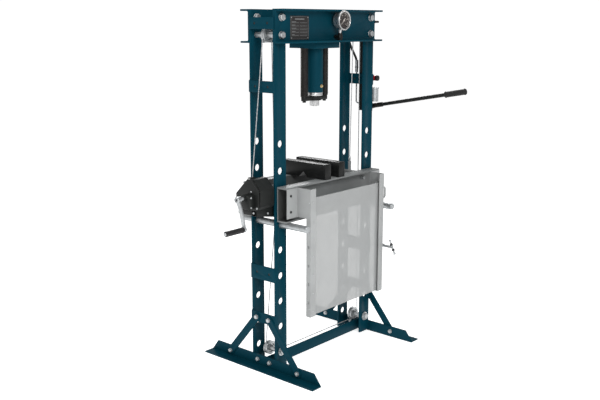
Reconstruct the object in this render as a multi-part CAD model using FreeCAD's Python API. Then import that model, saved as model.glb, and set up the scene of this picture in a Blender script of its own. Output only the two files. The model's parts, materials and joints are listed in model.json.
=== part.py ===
import FreeCAD, Part
import math
import os

V = FreeCAD.Vector
os.makedirs("parts", exist_ok=True)

# Workshop hydraulic press, millimetres. +Z is up, X runs across the press, -Y is the front.
# The origin is on the floor, halfway between the columns and halfway between front and rear.

# ---- frame ----
press_height = 1800.0
column_outer = 390.0            # outer edge of the uprights from the middle of the press
upright_width = 80.0
upright_thickness = 10.0
frame_depth = 165.0             # over the outer faces of the uprights
upright_bottom = 8.0
hole_pitch = 133.0
hole_diameter = 36.0
lowest_hole_z = 97.0
hole_count = 9
tie_thickness = 6.0
tie_heights = (55.0, 56.0, 74.0, 54.0)
top_tie_drop = 66.0             # middle of the highest tie plate below the top
tie_middles = (press_height - top_tie_drop, 1435.0, 504.0, 265.0)
tie_hole_offset = 42.0
tie_hole_radius = 6.5
base_tie_height = 50.0

# ---- head ----
channel_height = 160.0
channel_width = 59.0
web_thickness = 8.0
flange_thickness = 9.0
channel_fillet = 7.0
bolt_radius = 10.0
bolt_hole_radius = 10.6
bolt_head_af = 30.0
bolt_head_height = 12.0
washer_radius = 18.5
washer_thickness = 3.0
head_bolt_offset = 41.5         # above and below the middle of the head channel

# ---- feet ----
foot_half_length = 380.0
foot_leg_height = 60.0
foot_flange_width = 65.0
foot_thickness = 6.0
foot_chamfer = 42.0
foot_bolt_z = 34.0
brace_width = 40.0
brace_thickness = 6.0
brace_foot_y = 236.0
brace_foot_z = 32.0
small_bolt_radius = 6.0
small_head_af = 19.0
small_head_height = 8.0
beam_height = 60.0
beam_flange = 60.0
beam_thickness = 6.0
beam_front_y = -20.0

# ---- cylinder and ram ----
plate_length = 190.0
plate_depth = 176.0
plate_thickness = 30.0
cylinder_radius = 44.0
cylinder_length = 225.0         # below the mounting plate
cylinder_bore = 33.0
seat_gap = 0.05                 # all round a round piece that sits in a hole of the same body
cylinder_cap_height = 50.0      # above the mounting plate, inside the head
cylinder_bore_top = 4.0         # end of the bore below the mounting plate
port_above_plate = 28.0
port_radius = 12.0
port_reach = 62.0
gland_height = 16.0
gland_insert = 12.0
ram_radius = 25.0
ram_clearance = 0.1
piston_clearance = 0.1
piston_height = 40.0
ram_stroke = 150.0
crossbar_gap = 2.0
crossbar_height = 22.0
crossbar_depth = 26.0
crossbar_half = 95.0
ram_nose = 29.0
spring_offset = 80.0
spring_radius = 20.0
spring_wire = 5.0
spring_eye = 6.0

# ---- gauge ----
gauge_beside = 6.0              # gauge centre outside the cylinder's radius
gauge_x = cylinder_radius + gauge_beside
gauge_drop = 53.0               # gauge centre below the top of the head
gauge_stand_off = 66.5          # gauge face in front of the head's web
gauge_face_y = -(frame_depth / 2 + web_thickness + gauge_stand_off)
bezel_radius = 48.0
bezel_rim = 6.0
bezel_depth = 14.0
gauge_case_radius = 38.0
gauge_case_depth = 38.0
gauge_wall = 3.0
gauge_stem_y = gauge_face_y + 32.0
gauge_stem_radius = 7.0
fitting_radius = 13.0
fitting_height = 36.0
oil_pipe_radius = 4.0

# ---- rope and pulleys ----
pulley_radius = 35.0
pulley_width = 22.0
rope_radius = 2.5
rope_clearance = 0.3
rope_line = 30.0                # radius of the rope's middle line on a pulley
axle_clearance = 0.08
spacer_radius = 14.0
side_play = 0.5
drum_line = 24.0                # radius of the rope's middle line on the winch drum

# ---- bed ----
bed_channel_height = 174.0
bed_channel_width = 62.0
bed_clearance = 2.0
bed_end_inset = 10.0            # ends of the bed inside the outer edges of the columns
bed_half_length = column_outer - bed_end_inset
bed_hole_index = 5              # the support pins sit in this hole, counted from the lowest
pin_radius = 17.0
pin_gap = 0.3
pin_front = -262.0
pin_rear = 172.0
spacer_plate_thickness = 10.0
spacer_plate_gap = 4.0
spacer_below_flange = 12.0      # the spacer plates stop this far below the bed's top
anchor_inset = 8.0              # rope anchors inside the columns
anchor_x = column_outer - upright_width - anchor_inset
anchor_height = 36.0
anchor_radius = 8.0
anchor_lug_top = 10.0
anchor_lug_height = 12.0
block_width = 48.0
block_height = 78.0
block_length = 296.0
block_centres = (-64.0, 48.0)
vee_half_width = 30.0

# ---- winch ----
winch_gap = 10.0                # between the column and the housing
winch_length = 110.0
winch_right = -(column_outer + winch_gap)
winch_left = winch_right - winch_length     # outer face of the cover
winch_front_y = -88.0
winch_rear_y = 64.0
winch_above_bed = 74.0          # underside of the housing above the underside of the bed
winch_height = 148.0
winch_wall = 4.0
winch_front_chamfer = 48.0
winch_rear_chamfer = 78.0
winch_low_chamfer = 18.0
rail_left = winch_left + 8.0
rail_inner_y = 34.0
rail_outer_y = 60.0
rail_drop_left = 30.0           # depth of the rails below the housing at its outer end
rail_above_bed = 8.0            # and their foot above the underside of the bed at the other end
drum_x = winch_left + 42.0
drum_half = 12.0
drum_flange_radius = 30.0
drum_flange = 4.0
gear_radius = 28.0              # pitch radii of the gear on the drum and of the crank's pinion
pinion_radius = 12.0
gear_gap = 0.15
gear_width = 14.0
gear_x = winch_left + 25.0      # inner face of the gear
drum_shaft_radius = 9.0
shaft_clearance = 0.08
bearing_depth = 6.0
crank_y = -30.0
crank_above_low = 62.4          # crank axis above the underside of the housing
crank_shaft_radius = 8.0
crank_arm_x = winch_left - 86.0
crank_arm_thickness = 8.0
crank_arm_half = 11.0
crank_hub_radius = 15.0
crank_length = 144.0
crank_lean = 17.8
block_left = winch_left - 42.0  # outer face of the crank's bearing block
block_front = 32.0
block_rear = 22.0
block_below = 53.0
block_above = 14.0
grip_length = 116.0
grip_radius = 14.0
grip_pin_radius = 5.0

# ---- guard ----
guard_half_width = anchor_x     # outer faces of the guard rails
guard_front_y = -235.0
guard_rail_depth = 28.0
guard_lip = 40.0
guard_sheet = 3.0
guard_top = 904.0
guard_bottom = 298.0
guard_panel_thickness = 5.0
panel_gap = 0.3
bracket_bottom = 800.0
bracket_drop = 6.0              # top of the guard's brackets below the top of the bed
pad_inset = 3.0                 # outer edge of the bracket's pad inside the end of the bed
slot_pitch = 95.0
slot_count = 4
lock_z = 545.0
lock_hub_radius = 10.0
lock_reach = 66.0
lock_handle_half = 40.0
lock_handle_radius = 7.0
lock_handle_lean = 25.0

# ---- pump ----
tank_y = 0.0
tank_radius = 35.0
tank_gap = 0.5
tank_bottom = 1345.0
tank_top = 1655.0
tank_wall = 3.0
tank_seat_height = 12.0
filler_radius = 12.0
pump_plate_thickness = 6.0
pump_plate_front = -60.0
pump_plate_rear = 15.0
pump_plate_bottom = 1262.0
pump_plate_top = 1470.0
pump_housing_reach = 28.0
pivot_radius = 7.0
valve_half = 16.0
valve_front = -52.0
valve_rear = -36.0
barrel_x = column_outer + 50.0
barrel_y = -60.0
barrel_radius = 22.0
barrel_bottom = 1312.0
barrel_top = 1388.0
barrel_cap = 8.0
plunger_radius = 12.0
plunger_clearance = 0.08
plunger_length = 54.0
handle_y = -45.0
handle_z = 1286.0
handle_radius = 10.0
handle_socket = 70.0
handle_tip_y = -628.0
handle_tip_z = 1394.0
handle_hub_radius = 15.0
handle_hub_half = 11.0
handle_grip_radius = 15.0
handle_grip_length = 118.0
grip_collar = 1.5
knob_x = column_outer + 40.0
knob_z = 1440.0
knob_radius = 15.0
knob_stem_radius = 5.0
knob_stem_length = 16.0

# ---- hose ----
hose_radius = 6.5
hose_behind_frame = 29.5
hose_drop_x = column_outer + 22.0
hose_bend_drops = (64.0, 102.0)     # corners of the hose below the cylinder's port
hose_drop_y = 44.0
hose_end_z = 1505.0
elbow_radius = 9.0
elbow_end_x = 30.0
pipe_radius = 4.5
pipe_start_z = 1300.0
ferrule_radius = 8.0
ferrule_length = 37.0

# ---- worked-out places ----
half_depth = frame_depth / 2
inner_face = half_depth - upright_thickness
column_inner = column_outer - upright_width
column_middle = column_outer - upright_width / 2
head_bottom = press_height - channel_height
head_middle = press_height - channel_height / 2
plate_bottom = head_bottom - plate_thickness
cylinder_bottom = plate_bottom - cylinder_length
port_z = head_bottom + port_above_plate
hole_heights = [lowest_hole_z + hole_pitch * i for i in range(hole_count)]
pin_z = hole_heights[bed_hole_index] - hole_diameter / 2 + pin_radius + pin_gap
bed_bottom = pin_z + pin_radius + pin_gap
bed_top = bed_bottom + bed_channel_height
bed_face = half_depth + bed_clearance
bed_tip = bed_face + bed_channel_width
winch_low = bed_bottom + winch_above_bed
winch_high = winch_low + winch_height
crank_z = winch_low + crank_above_low
drum_y = -drum_line
drum_z = crank_z + math.sqrt((gear_radius + pinion_radius) ** 2 - (drum_y - crank_y) ** 2)
top_pulley_z = head_middle - head_bolt_offset
low_pulley_z = lowest_hole_z
tie_outer = column_outer + tie_thickness
foot_outer = column_outer + foot_thickness
tank_x = tie_outer + pump_plate_thickness + tank_gap + tank_radius
dial_radius = bezel_radius - bezel_rim
hose_y = half_depth + hose_behind_frame


def box(x0, x1, y0, y1, z0, z1):
    return Part.makeBox(x1 - x0, y1 - y0, z1 - z0, V(x0, y0, z0))


def rod(start, end, radius):
    axis = end.sub(start)
    return Part.makeCylinder(radius, axis.Length, start, axis)


def prism(points, direction):
    wire = Part.makePolygon(points + [points[0]])
    return Part.Face(wire).extrude(direction)


def hexagon(middle, direction, across_flats, height):
    """A hexagonal prism that starts at middle and runs along X or Y."""
    corner = across_flats / math.sqrt(3)
    points = []
    for i in range(6):
        angle = math.radians(60 * i)
        side, up = corner * math.cos(angle), corner * math.sin(angle)
        flat = V(side, 0, up) if abs(direction.y) > 0.5 else V(0, side, up)
        points.append(middle.add(flat))
    return prism(points, V(direction).multiply(height))


def turned(profile, base, axis):
    """A solid of revolution: profile is a list of (radius, distance along the axis)."""
    across = V(1, 0, 0) if abs(axis.x) < 0.5 else V(0, 0, 1)
    points = [base.add(V(across).multiply(r)).add(V(axis).multiply(h)) for r, h in profile]
    face = Part.Face(Part.makePolygon(points + [points[0]]))
    return face.revolve(base, axis, 360)


def mirrored(shape):
    """The same piece on the other side of the press."""
    return shape.mirror(V(0, 0, 0), V(1, 0, 0))


def save(name, shape):
    if shape.ShapeType != "Solid" and len(shape.Solids) == 1:
        shape = shape.Solids[0]
    if not shape.isValid():
        raise ValueError("not valid: " + name)
    shape.exportStep(os.path.join("parts", name + ".step"))
    print("%-22s solids %2d  volume %11.0f" % (name, len(shape.Solids), shape.Volume))


def save_group(name, solids):
    save(name, Part.makeCompound(solids))


# ---------------------------------------------------------------- columns

def upright(side, rear):
    """A flat bar with the row of pin holes and the two head bolt holes."""
    y0 = inner_face if rear else -half_depth
    x0 = column_inner if side > 0 else -column_outer
    bar = box(x0, x0 + upright_width, y0, y0 + upright_thickness, upright_bottom, press_height)
    middle = side * column_middle
    holes = [(z, hole_diameter / 2) for z in hole_heights]
    holes += [(head_middle + s * head_bolt_offset, bolt_hole_radius) for s in (-1, 1)]
    for z, radius in holes:
        bar = bar.cut(rod(V(middle, y0 - 1, z), V(middle, y0 + upright_thickness + 1, z), radius))
    return bar


def tie_plates():
    """The plates welded to the outer edges of each pair of uprights, and the inner base plates."""
    plates = []
    for height, middle in zip(tie_heights, tie_middles):
        plate = box(column_outer, tie_outer, -half_depth, half_depth,
                    middle - height / 2, middle + height / 2)
        for y in (-tie_hole_offset, tie_hole_offset):
            hole = rod(V(column_outer - 1, y, middle), V(tie_outer + 1, y, middle), tie_hole_radius)
            plate = plate.cut(hole)
        plates.append(plate)
    base = box(column_outer - tie_thickness, column_outer, -inner_face, inner_face,
               upright_bottom, upright_bottom + base_tie_height)
    for y in (-tie_hole_offset, tie_hole_offset):
        base = base.cut(rod(V(column_outer - tie_thickness - 1, y, foot_bolt_z),
                            V(column_outer + 1, y, foot_bolt_z), tie_hole_radius))
    plates.append(base)
    return plates + [mirrored(p) for p in plates]


def channel(half_length, back_y, width, z0, height):
    """A rolled channel along X with its web against back_y and its flanges towards the front."""
    z1 = z0 + height
    outer = box(-half_length, half_length, back_y - width, back_y, z0, z1)
    pocket = box(-half_length - 1, half_length + 1, back_y - width - 1, back_y - web_thickness,
                 z0 + flange_thickness, z1 - flange_thickness)
    corners = [e for e in pocket.Edges if abs(e.Length - 2 * half_length - 2) < 0.1
               and abs(e.CenterOfMass.y - back_y + web_thickness) < 0.1]
    return outer.cut(pocket.makeFillet(channel_fillet, corners))


def head_channel(rear):
    part = channel(column_outer, -half_depth, channel_width, head_bottom, channel_height)
    if rear:
        part = part.mirror(V(0, 0, 0), V(0, 1, 0))
    sign = 1 if rear else -1
    for x in (-column_middle, column_middle):
        for z in (head_middle - head_bolt_offset, head_middle + head_bolt_offset):
            part = part.cut(rod(V(x, sign * (half_depth - 1), z),
                                V(x, sign * (half_depth + web_thickness + 1), z), bolt_hole_radius))
    port_x = 0.0 if rear else gauge_x
    reach = port_radius + 2 if rear else oil_pipe_radius + 2
    hole = rod(V(port_x, sign * (half_depth - 1), port_z),
               V(port_x, sign * (half_depth + web_thickness + 1), port_z), reach)
    return part.cut(hole)


def bolt(x, y0, y1, z):
    """A bolt along Y with washers, its head before y0 and its nut behind y1."""
    front, back = V(0, -1, 0), V(0, 1, 0)
    shape = rod(V(x, y0, z), V(x, y1, z), bolt_radius)
    shape = shape.fuse(rod(V(x, y0 - washer_thickness, z), V(x, y0, z), washer_radius))
    shape = shape.fuse(rod(V(x, y1, z), V(x, y1 + washer_thickness, z), washer_radius))
    head = hexagon(V(x, y0 - washer_thickness, z), front, bolt_head_af, bolt_head_height)
    nut = hexagon(V(x, y1 + washer_thickness, z), back, bolt_head_af, bolt_head_height)
    return shape.fuse(head).fuse(nut).removeSplitter()


def head_bolts():
    web = half_depth + web_thickness
    bolts = []
    for x in (-column_middle, column_middle):
        upper = head_middle + head_bolt_offset
        bolts.append(bolt(x, -web, -inner_face, upper))
        bolts.append(bolt(x, inner_face, web, upper))
        bolts.append(bolt(x, -web, web, top_pulley_z))
    return bolts


# ---------------------------------------------------------------- feet

def foot():
    """An angle along Y with chamfered ends, on the outside of the left column."""
    leg_points = [V(-foot_outer, -foot_half_length, 0), V(-foot_outer, foot_half_length, 0),
                  V(-foot_outer, foot_half_length, foot_thickness),
                  V(-foot_outer, foot_half_length - foot_chamfer, foot_leg_height),
                  V(-foot_outer, -foot_half_length + foot_chamfer, foot_leg_height),
                  V(-foot_outer, -foot_half_length, foot_thickness)]
    leg = prism(leg_points, V(foot_thickness, 0, 0))
    flange = box(-column_outer - foot_flange_width, -column_outer, -foot_half_length,
                 foot_half_length, 0, foot_thickness)
    part = leg.fuse(flange).removeSplitter()
    for y, z in foot_bolt_places():
        if z < foot_leg_height:
            part = part.cut(rod(V(-foot_outer - 1, y, z), V(-column_outer + 1, y, z), tie_hole_radius))
    return part


def foot_bolt_places():
    """Where the small bolts pass through one foot, its braces and its tie plates."""
    places = []
    for s in (-1, 1):
        places.append((s * tie_hole_offset, tie_middles[3]))
        places.append((s * brace_foot_y, brace_foot_z))
        places.append((s * tie_hole_offset, foot_bolt_z))
    return places


def brace(s):
    """A flat bar with round ends from the lowest tie plate down to the foot."""
    top = V(-foot_outer, s * tie_hole_offset, tie_middles[3])
    low = V(-foot_outer, s * brace_foot_y, brace_foot_z)
    along = low.sub(top)
    side = V(0, -along.z, along.y).normalize().multiply(brace_width / 2)
    strip = prism([top.add(side), low.add(side), low.sub(side), top.sub(side)],
                  V(-brace_thickness, 0, 0))
    for end in (top, low):
        strip = strip.fuse(rod(end, end.add(V(-brace_thickness, 0, 0)), brace_width / 2))
    for end in (top, low):
        strip = strip.cut(rod(end.add(V(1, 0, 0)), end.sub(V(brace_thickness + 1, 0, 0)),
                              tie_hole_radius))
    floor_cut = box(-foot_outer - 20, 0, -500, 500, -50, foot_thickness + 1)
    return strip.cut(floor_cut).removeSplitter()


def small_bolt(y, z, through, seat):
    """A bolt along X: its head lies on x = -seat and its shank ends inside at x = -through."""
    outward = V(-1, 0, 0)
    shape = rod(V(-through, y, z), V(-seat, y, z), small_bolt_radius)
    head = hexagon(V(-seat, y, z), outward, small_head_af, small_head_height)
    nut = hexagon(V(-through, y, z), V(1, 0, 0), small_head_af, small_head_height)
    return shape.fuse(head).fuse(nut).removeSplitter()


def foot_bolts():
    bolts = []
    for y, z in foot_bolt_places():
        braced = abs(y) > 100 or z > 100
        seat = foot_outer + (brace_thickness if braced else 0)
        through = column_outer - (0 if braced else tie_thickness)
        bolts.append(small_bolt(y, z, through, seat))
    return bolts + [mirrored(b) for b in bolts]


def cross_beam():
    reach = column_outer - tie_thickness
    leg = box(-reach, reach, beam_front_y, beam_front_y + beam_thickness, 0, beam_height)
    flange = box(-reach, reach, beam_front_y, beam_front_y + beam_flange, 0, beam_thickness)
    return leg.fuse(flange).removeSplitter()


# ---------------------------------------------------------------- cylinder, ram and springs

def cylinder_plate():
    plate = box(-plate_length / 2, plate_length / 2, -plate_depth / 2, plate_depth / 2,
                plate_bottom, head_bottom)
    hole = cylinder_radius + seat_gap
    return plate.cut(rod(V(0, 0, plate_bottom - 1), V(0, 0, head_bottom + 1), hole))


def cylinder_body():
    top = head_bottom + cylinder_cap_height
    body = rod(V(0, 0, cylinder_bottom), V(0, 0, top), cylinder_radius)
    bore_top = plate_bottom - cylinder_bore_top
    body = body.cut(rod(V(0, 0, cylinder_bottom - 1), V(0, 0, bore_top), cylinder_bore))
    body = body.fuse(rod(V(0, 0, port_z), V(port_reach, 0, port_z), port_radius))
    return body.fuse(rod(V(0, 0, port_z), V(0, port_reach, port_z), port_radius)).removeSplitter()


def cylinder_gland():
    """The nut that closes the foot of the cylinder round the ram."""
    bore = ram_radius + ram_clearance
    profile = [(bore, -gland_height), (cylinder_radius - 2, -gland_height), (cylinder_radius - 2, 0),
               (cylinder_bore, 0), (cylinder_bore, gland_insert), (bore, gland_insert)]
    return turned(profile, V(0, 0, cylinder_bottom), V(0, 0, 1))


def crossbar_top():
    return cylinder_bottom - gland_height - crossbar_gap


def ram():
    top = plate_bottom - cylinder_bore_top - 4
    tip = crossbar_top() - crossbar_height - ram_nose
    piston = cylinder_bore - piston_clearance
    profile = [(0, tip), (ram_radius - 2, tip), (ram_radius, tip + 2),
               (ram_radius, top - piston_height), (piston, top - piston_height), (piston, top), (0, top)]
    return turned(profile, V(0, 0, 0), V(0, 0, 1))


def spring_crossbar():
    top = crossbar_top()
    bar = box(-crossbar_half, crossbar_half, -crossbar_depth / 2, crossbar_depth / 2,
              top - crossbar_height, top)
    bar = bar.fuse(rod(V(0, 0, top - crossbar_height), V(0, 0, top), ram_radius + 12))
    return bar.cut(rod(V(0, 0, top - crossbar_height - 1), V(0, 0, top + 1), ram_radius)).removeSplitter()


def return_spring(side):
    """A close-wound tension spring: one turned body with a ridge for each turn."""
    low, high = crossbar_top(), plate_bottom
    turns = int((high - low) / spring_wire)
    pitch = (high - low) / turns
    outer, inner = spring_radius - spring_wire / 2, spring_radius - spring_wire
    x = side * spring_offset
    edges = [Part.LineSegment(V(x + inner, 0, low), V(x + outer, 0, low)).toShape()]
    for i in range(turns):
        z = low + i * pitch
        edges.append(Part.Arc(V(x + outer, 0, z), V(x + spring_radius, 0, z + pitch / 2),
                              V(x + outer, 0, z + pitch)).toShape())
    edges.append(Part.LineSegment(V(x + outer, 0, high), V(x + inner, 0, high)).toShape())
    edges.append(Part.LineSegment(V(x + inner, 0, high), V(x + inner, 0, low)).toShape())
    return Part.Face(Part.Wire(edges)).revolve(V(x, 0, 0), V(0, 0, 1), 360)


# ---------------------------------------------------------------- gauge

gauge_centre = V(gauge_x, gauge_face_y, press_height - gauge_drop)
inward = V(0, 1, 0)


def gauge_case():
    """Round case with its bezel in front; profile runs (radius, depth behind the face)."""
    back = bezel_depth + gauge_case_depth
    inside = gauge_case_radius - gauge_wall
    profile = [(dial_radius, 0), (bezel_radius - 1.5, 0), (bezel_radius, 2),
               (bezel_radius, bezel_depth), (gauge_case_radius, bezel_depth),
               (gauge_case_radius, back), (0, back), (0, back - gauge_wall),
               (inside, back - gauge_wall), (inside, bezel_depth - 2), (dial_radius, bezel_depth - 2)]
    case = turned(profile, gauge_centre, inward)
    stem_top = V(gauge_x, gauge_stem_y, gauge_centre.z - gauge_case_radius + 1.5)
    stem = rod(stem_top, V(gauge_x, gauge_stem_y, head_bottom + flange_thickness + fitting_height),
               gauge_stem_radius)
    return case.fuse(stem).removeSplitter()


def gauge_dial():
    face = gauge_centre.add(V(0, bezel_depth - 4, 0))
    return rod(face, face.add(V(0, 2, 0)), dial_radius)


def gauge_glass():
    face = gauge_centre.add(V(0, 1.0, 0))
    return rod(face, face.add(V(0, 2.5, 0)), dial_radius)


def gauge_needle():
    """The pointer and its hub between the dial and the glass."""
    back = gauge_centre.y + bezel_depth - 4.3
    front = gauge_centre.y + 3.9
    x, z = gauge_centre.x, gauge_centre.z
    hub = rod(V(x, front, z), V(x, back, z), 4)
    lean = math.radians(225)
    tip, tail = V(math.cos(lean), 0, math.sin(lean)), V(-math.sin(lean), 0, math.cos(lean))
    middle = V(x, back - 2.6, z)
    points = [middle.add(V(tip).multiply(dial_radius - 9)), middle.add(V(tail).multiply(1.6)),
              middle.sub(V(tip).multiply(12)).add(V(tail).multiply(2.6)),
              middle.sub(V(tip).multiply(12)).sub(V(tail).multiply(2.6)), middle.sub(V(tail).multiply(1.6))]
    return hub.fuse(prism(points, V(0, 1.4, 0))).removeSplitter()


def gauge_fitting():
    """The adapter on the lower flange and the pipe that takes oil from the cylinder to the gauge."""
    foot_z = head_bottom + flange_thickness
    base = V(gauge_x, gauge_stem_y, foot_z)
    body = rod(base, base.add(V(0, 0, fitting_height)), fitting_radius)
    start = V(gauge_x, gauge_stem_y, port_z)
    pipe = rod(start, V(gauge_x, -port_radius, port_z), oil_pipe_radius)
    pipe = pipe.cut(rod(V(0, 0, port_z), V(port_reach, 0, port_z), port_radius))
    return body.fuse(pipe).removeSplitter()


# ---------------------------------------------------------------- pulleys and rope

def pulley(x, z):
    half = pulley_width / 2
    bore = bolt_radius + axle_clearance
    groove = rope_radius + rope_clearance
    profile = [(bore, -half), (spacer_radius + 3, -half), (spacer_radius + 3, -half + 5),
               (rope_line - groove - 3, -half + 5), (rope_line - groove - 3, -half),
               (pulley_radius, -half), (pulley_radius, -groove - 2), (rope_line, -groove),
               (rope_line, groove), (pulley_radius, groove + 2), (pulley_radius, half),
               (rope_line - groove - 3, half), (rope_line - groove - 3, half - 5),
               (spacer_radius + 3, half - 5), (spacer_radius + 3, half), (bore, half)]
    wheel = turned(profile, V(x, 0, z), V(0, 1, 0))
    return wheel.cut(Part.makeTorus(rope_line, groove, V(x, 0, z), V(0, 1, 0)))


def pulley_axles():
    """Spacer tubes on the long head bolts, and the stub axles of the two low pulleys."""
    half = pulley_width / 2 + side_play
    pieces = []
    for x in (-column_middle, column_middle):
        for s in (-1, 1):
            start, end = V(x, s * half, top_pulley_z), V(x, s * inner_face, top_pulley_z)
            tube = rod(start, end, spacer_radius).cut(rod(start, end, bolt_radius))
            pieces.append(tube)
        plate = hole_diameter / 2 + 6
        base = V(x, -half_depth, low_pulley_z)
        profile = [(0, -washer_thickness), (plate, -washer_thickness), (plate, 0),
                   (hole_diameter / 2 - 0.5, 0), (hole_diameter / 2 - 0.5, upright_thickness),
                   (plate, upright_thickness), (plate, upright_thickness + 4),
                   (spacer_radius, upright_thickness + 4),
                   (spacer_radius, half_depth - half), (bolt_radius, half_depth - half),
                   (bolt_radius, half_depth + half), (spacer_radius, half_depth + half),
                   (spacer_radius, half_depth + half + 8), (0, half_depth + half + 8)]
        stub = turned(profile, base, V(0, 1, 0))
        head = hexagon(V(x, -half_depth - washer_thickness, low_pulley_z), V(0, -1, 0),
                       bolt_head_af, bolt_head_height)
        pieces.append(stub.fuse(head).removeSplitter())
    return pieces


def tangent(centre_a, radius_a, centre_b, radius_b):
    """The taut line between two rope circles; a positive radius has the centre left of the line."""
    dx, dz = centre_b[0] - centre_a[0], centre_b[1] - centre_a[1]
    heading = math.atan2(dz, dx) - math.asin((radius_b - radius_a) / math.hypot(dx, dz))
    nx, nz = -math.sin(heading), math.cos(heading)
    return ((centre_a[0] - radius_a * nx, centre_a[1] - radius_a * nz),
            (centre_b[0] - radius_b * nx, centre_b[1] - radius_b * nz))


def winch_circles():
    """Where the winch rope leaves the drum, and the circle it follows on the top left pulley."""
    return [((drum_x, drum_z), 0.0), ((-column_middle, top_pulley_z), -rope_line)]


def level_circles():
    """The circles that the levelling rope follows: low left, low right, then top right pulley."""
    return [((-column_middle, low_pulley_z), rope_line), ((column_middle, low_pulley_z), rope_line),
            ((column_middle, top_pulley_z), rope_line)]


def flat(point):
    return V(point[0], 0, point[1])


def pipe_along(edges, radius):
    """A round bar swept along tangent straight runs and arcs."""
    path = Part.Wire(edges)
    start = edges[0].valueAt(edges[0].FirstParameter)
    heading = edges[0].tangentAt(edges[0].FirstParameter)
    ring = Part.Wire([Part.Circle(start, heading, radius).toShape()])
    solid = path.makePipeShell([ring], True, True)
    expected = math.pi * radius ** 2 * path.Length
    print("  run length %.0f, volume ratio %.4f" % (path.Length, solid.Volume / expected))
    return solid


def upper_anchor(side):
    """The rope's end above the bed."""
    return (side * anchor_x, bed_top + anchor_height + rope_clearance)


def lower_anchor():
    """The levelling rope's end under the left end of the bed."""
    return (-anchor_x, bed_bottom + anchor_lug_top - anchor_lug_height - 2 * rope_clearance)


def straight_run(ends):
    return [Part.LineSegment(flat(ends[0]), flat(ends[1])).toShape()]


def wrap(circle, start, end):
    """The arc of rope on a pulley, from where it arrives to where it leaves."""
    centre, radius = circle
    angle_start = math.atan2(start[1] - centre[1], start[0] - centre[0])
    angle_end = math.atan2(end[1] - centre[1], end[0] - centre[0])
    turn = (angle_end - angle_start) % (2 * math.pi)
    if radius < 0:
        turn -= 2 * math.pi
    middle = angle_start + turn / 2
    on = (centre[0] + abs(radius) * math.cos(middle), centre[1] + abs(radius) * math.sin(middle))
    return Part.Arc(flat(start), flat(on), flat(end)).toShape()


def circle_tangent(a, b):
    return tangent(a[0], a[1], b[0], b[1])


def rope_paths():
    """Both ropes in stretches: those that change with the bed's height, and those that stay."""
    drum, top_left = winch_circles()
    low_left, low_right, top_right = level_circles()
    left_end = (upper_anchor(-1), 0.0)
    right_end = (upper_anchor(1), 0.0)
    under_end = (lower_anchor(), 0.0)
    rise = circle_tangent(drum, top_left)
    fall = circle_tangent(top_left, left_end)
    down = circle_tangent(under_end, low_left)
    across = circle_tangent(low_left, low_right)
    up = circle_tangent(low_right, top_right)
    last = circle_tangent(top_right, right_end)
    frame_run = [wrap(low_left, down[1], across[0])] + straight_run(across)
    frame_run += [wrap(low_right, across[1], up[0])] + straight_run(up)
    frame_run += [wrap(top_right, up[1], last[0])]
    return {"winch": straight_run(rise), "over": [wrap(top_left, rise[1], fall[0])],
            "left": straight_run(fall), "level": straight_run(down), "frame": frame_run,
            "right": straight_run(last)}


# ---------------------------------------------------------------- pump and hose

def pump_block():
    """The pump's base: a mounting plate on the column, the pump housing and the valve body."""
    front = tie_outer + pump_plate_thickness
    reach = tie_outer + pump_housing_reach
    plate = box(tie_outer, front, pump_plate_front, pump_plate_rear, pump_plate_bottom, pump_plate_top)
    housing = box(front, reach, pump_plate_front, pump_plate_rear, pump_plate_bottom, tank_bottom)
    seat = rod(V(tank_x, tank_y, tank_bottom - tank_seat_height), V(tank_x, tank_y, tank_bottom),
               tank_radius - 4)
    valve = box(front, knob_x + valve_half, valve_front, valve_rear, knob_z - valve_half, knob_z + valve_half)
    pivot = rod(V(reach - 2, handle_y, handle_z), V(barrel_x + 16, handle_y, handle_z), pivot_radius)
    part = plate.fuse(housing).fuse(seat).fuse(valve).fuse(pivot)
    barrel = rod(V(barrel_x, barrel_y, barrel_bottom), V(barrel_x, barrel_y, barrel_top), barrel_radius)
    part = part.cut(rod(V(tie_outer - 1, -tie_hole_offset, tie_middles[1]),
                        V(front + 1, -tie_hole_offset, tie_middles[1]), tie_hole_radius))
    part = part.cut(rod(V(knob_x, valve_front - 1, knob_z), V(knob_x, valve_rear - 4, knob_z),
                        knob_stem_radius + 0.1))
    return part.cut(barrel).removeSplitter()


def pump_reservoir():
    tank = rod(V(tank_x, tank_y, tank_bottom), V(tank_x, tank_y, tank_top), tank_radius)
    inside = rod(V(tank_x, tank_y, tank_bottom + tank_wall), V(tank_x, tank_y, tank_top - tank_wall),
                 tank_radius - tank_wall)
    plug = rod(V(tank_x, tank_y, tank_top), V(tank_x, tank_y, tank_top + 12), filler_radius)
    return tank.cut(inside).fuse(plug).removeSplitter()


def pump_cylinder():
    bore = plunger_radius + plunger_clearance
    shoulder = barrel_top - barrel_cap
    profile = [(bore, barrel_bottom), (barrel_radius, barrel_bottom), (barrel_radius, shoulder),
               (barrel_radius + 2.5, shoulder), (barrel_radius + 2.5, barrel_top), (0, barrel_top),
               (0, barrel_top - 6), (bore, barrel_top - 6)]
    return turned(profile, V(barrel_x, barrel_y, 0), V(0, 0, 1))


def pump_plunger():
    low = barrel_bottom + 1
    return rod(V(barrel_x, barrel_y, low), V(barrel_x, barrel_y, low + plunger_length), plunger_radius)


def handle_line():
    start = V(barrel_x, handle_y, handle_z)
    along = V(barrel_x, handle_tip_y, handle_tip_z).sub(start)
    return start, V(along).normalize(), along.Length


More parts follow.
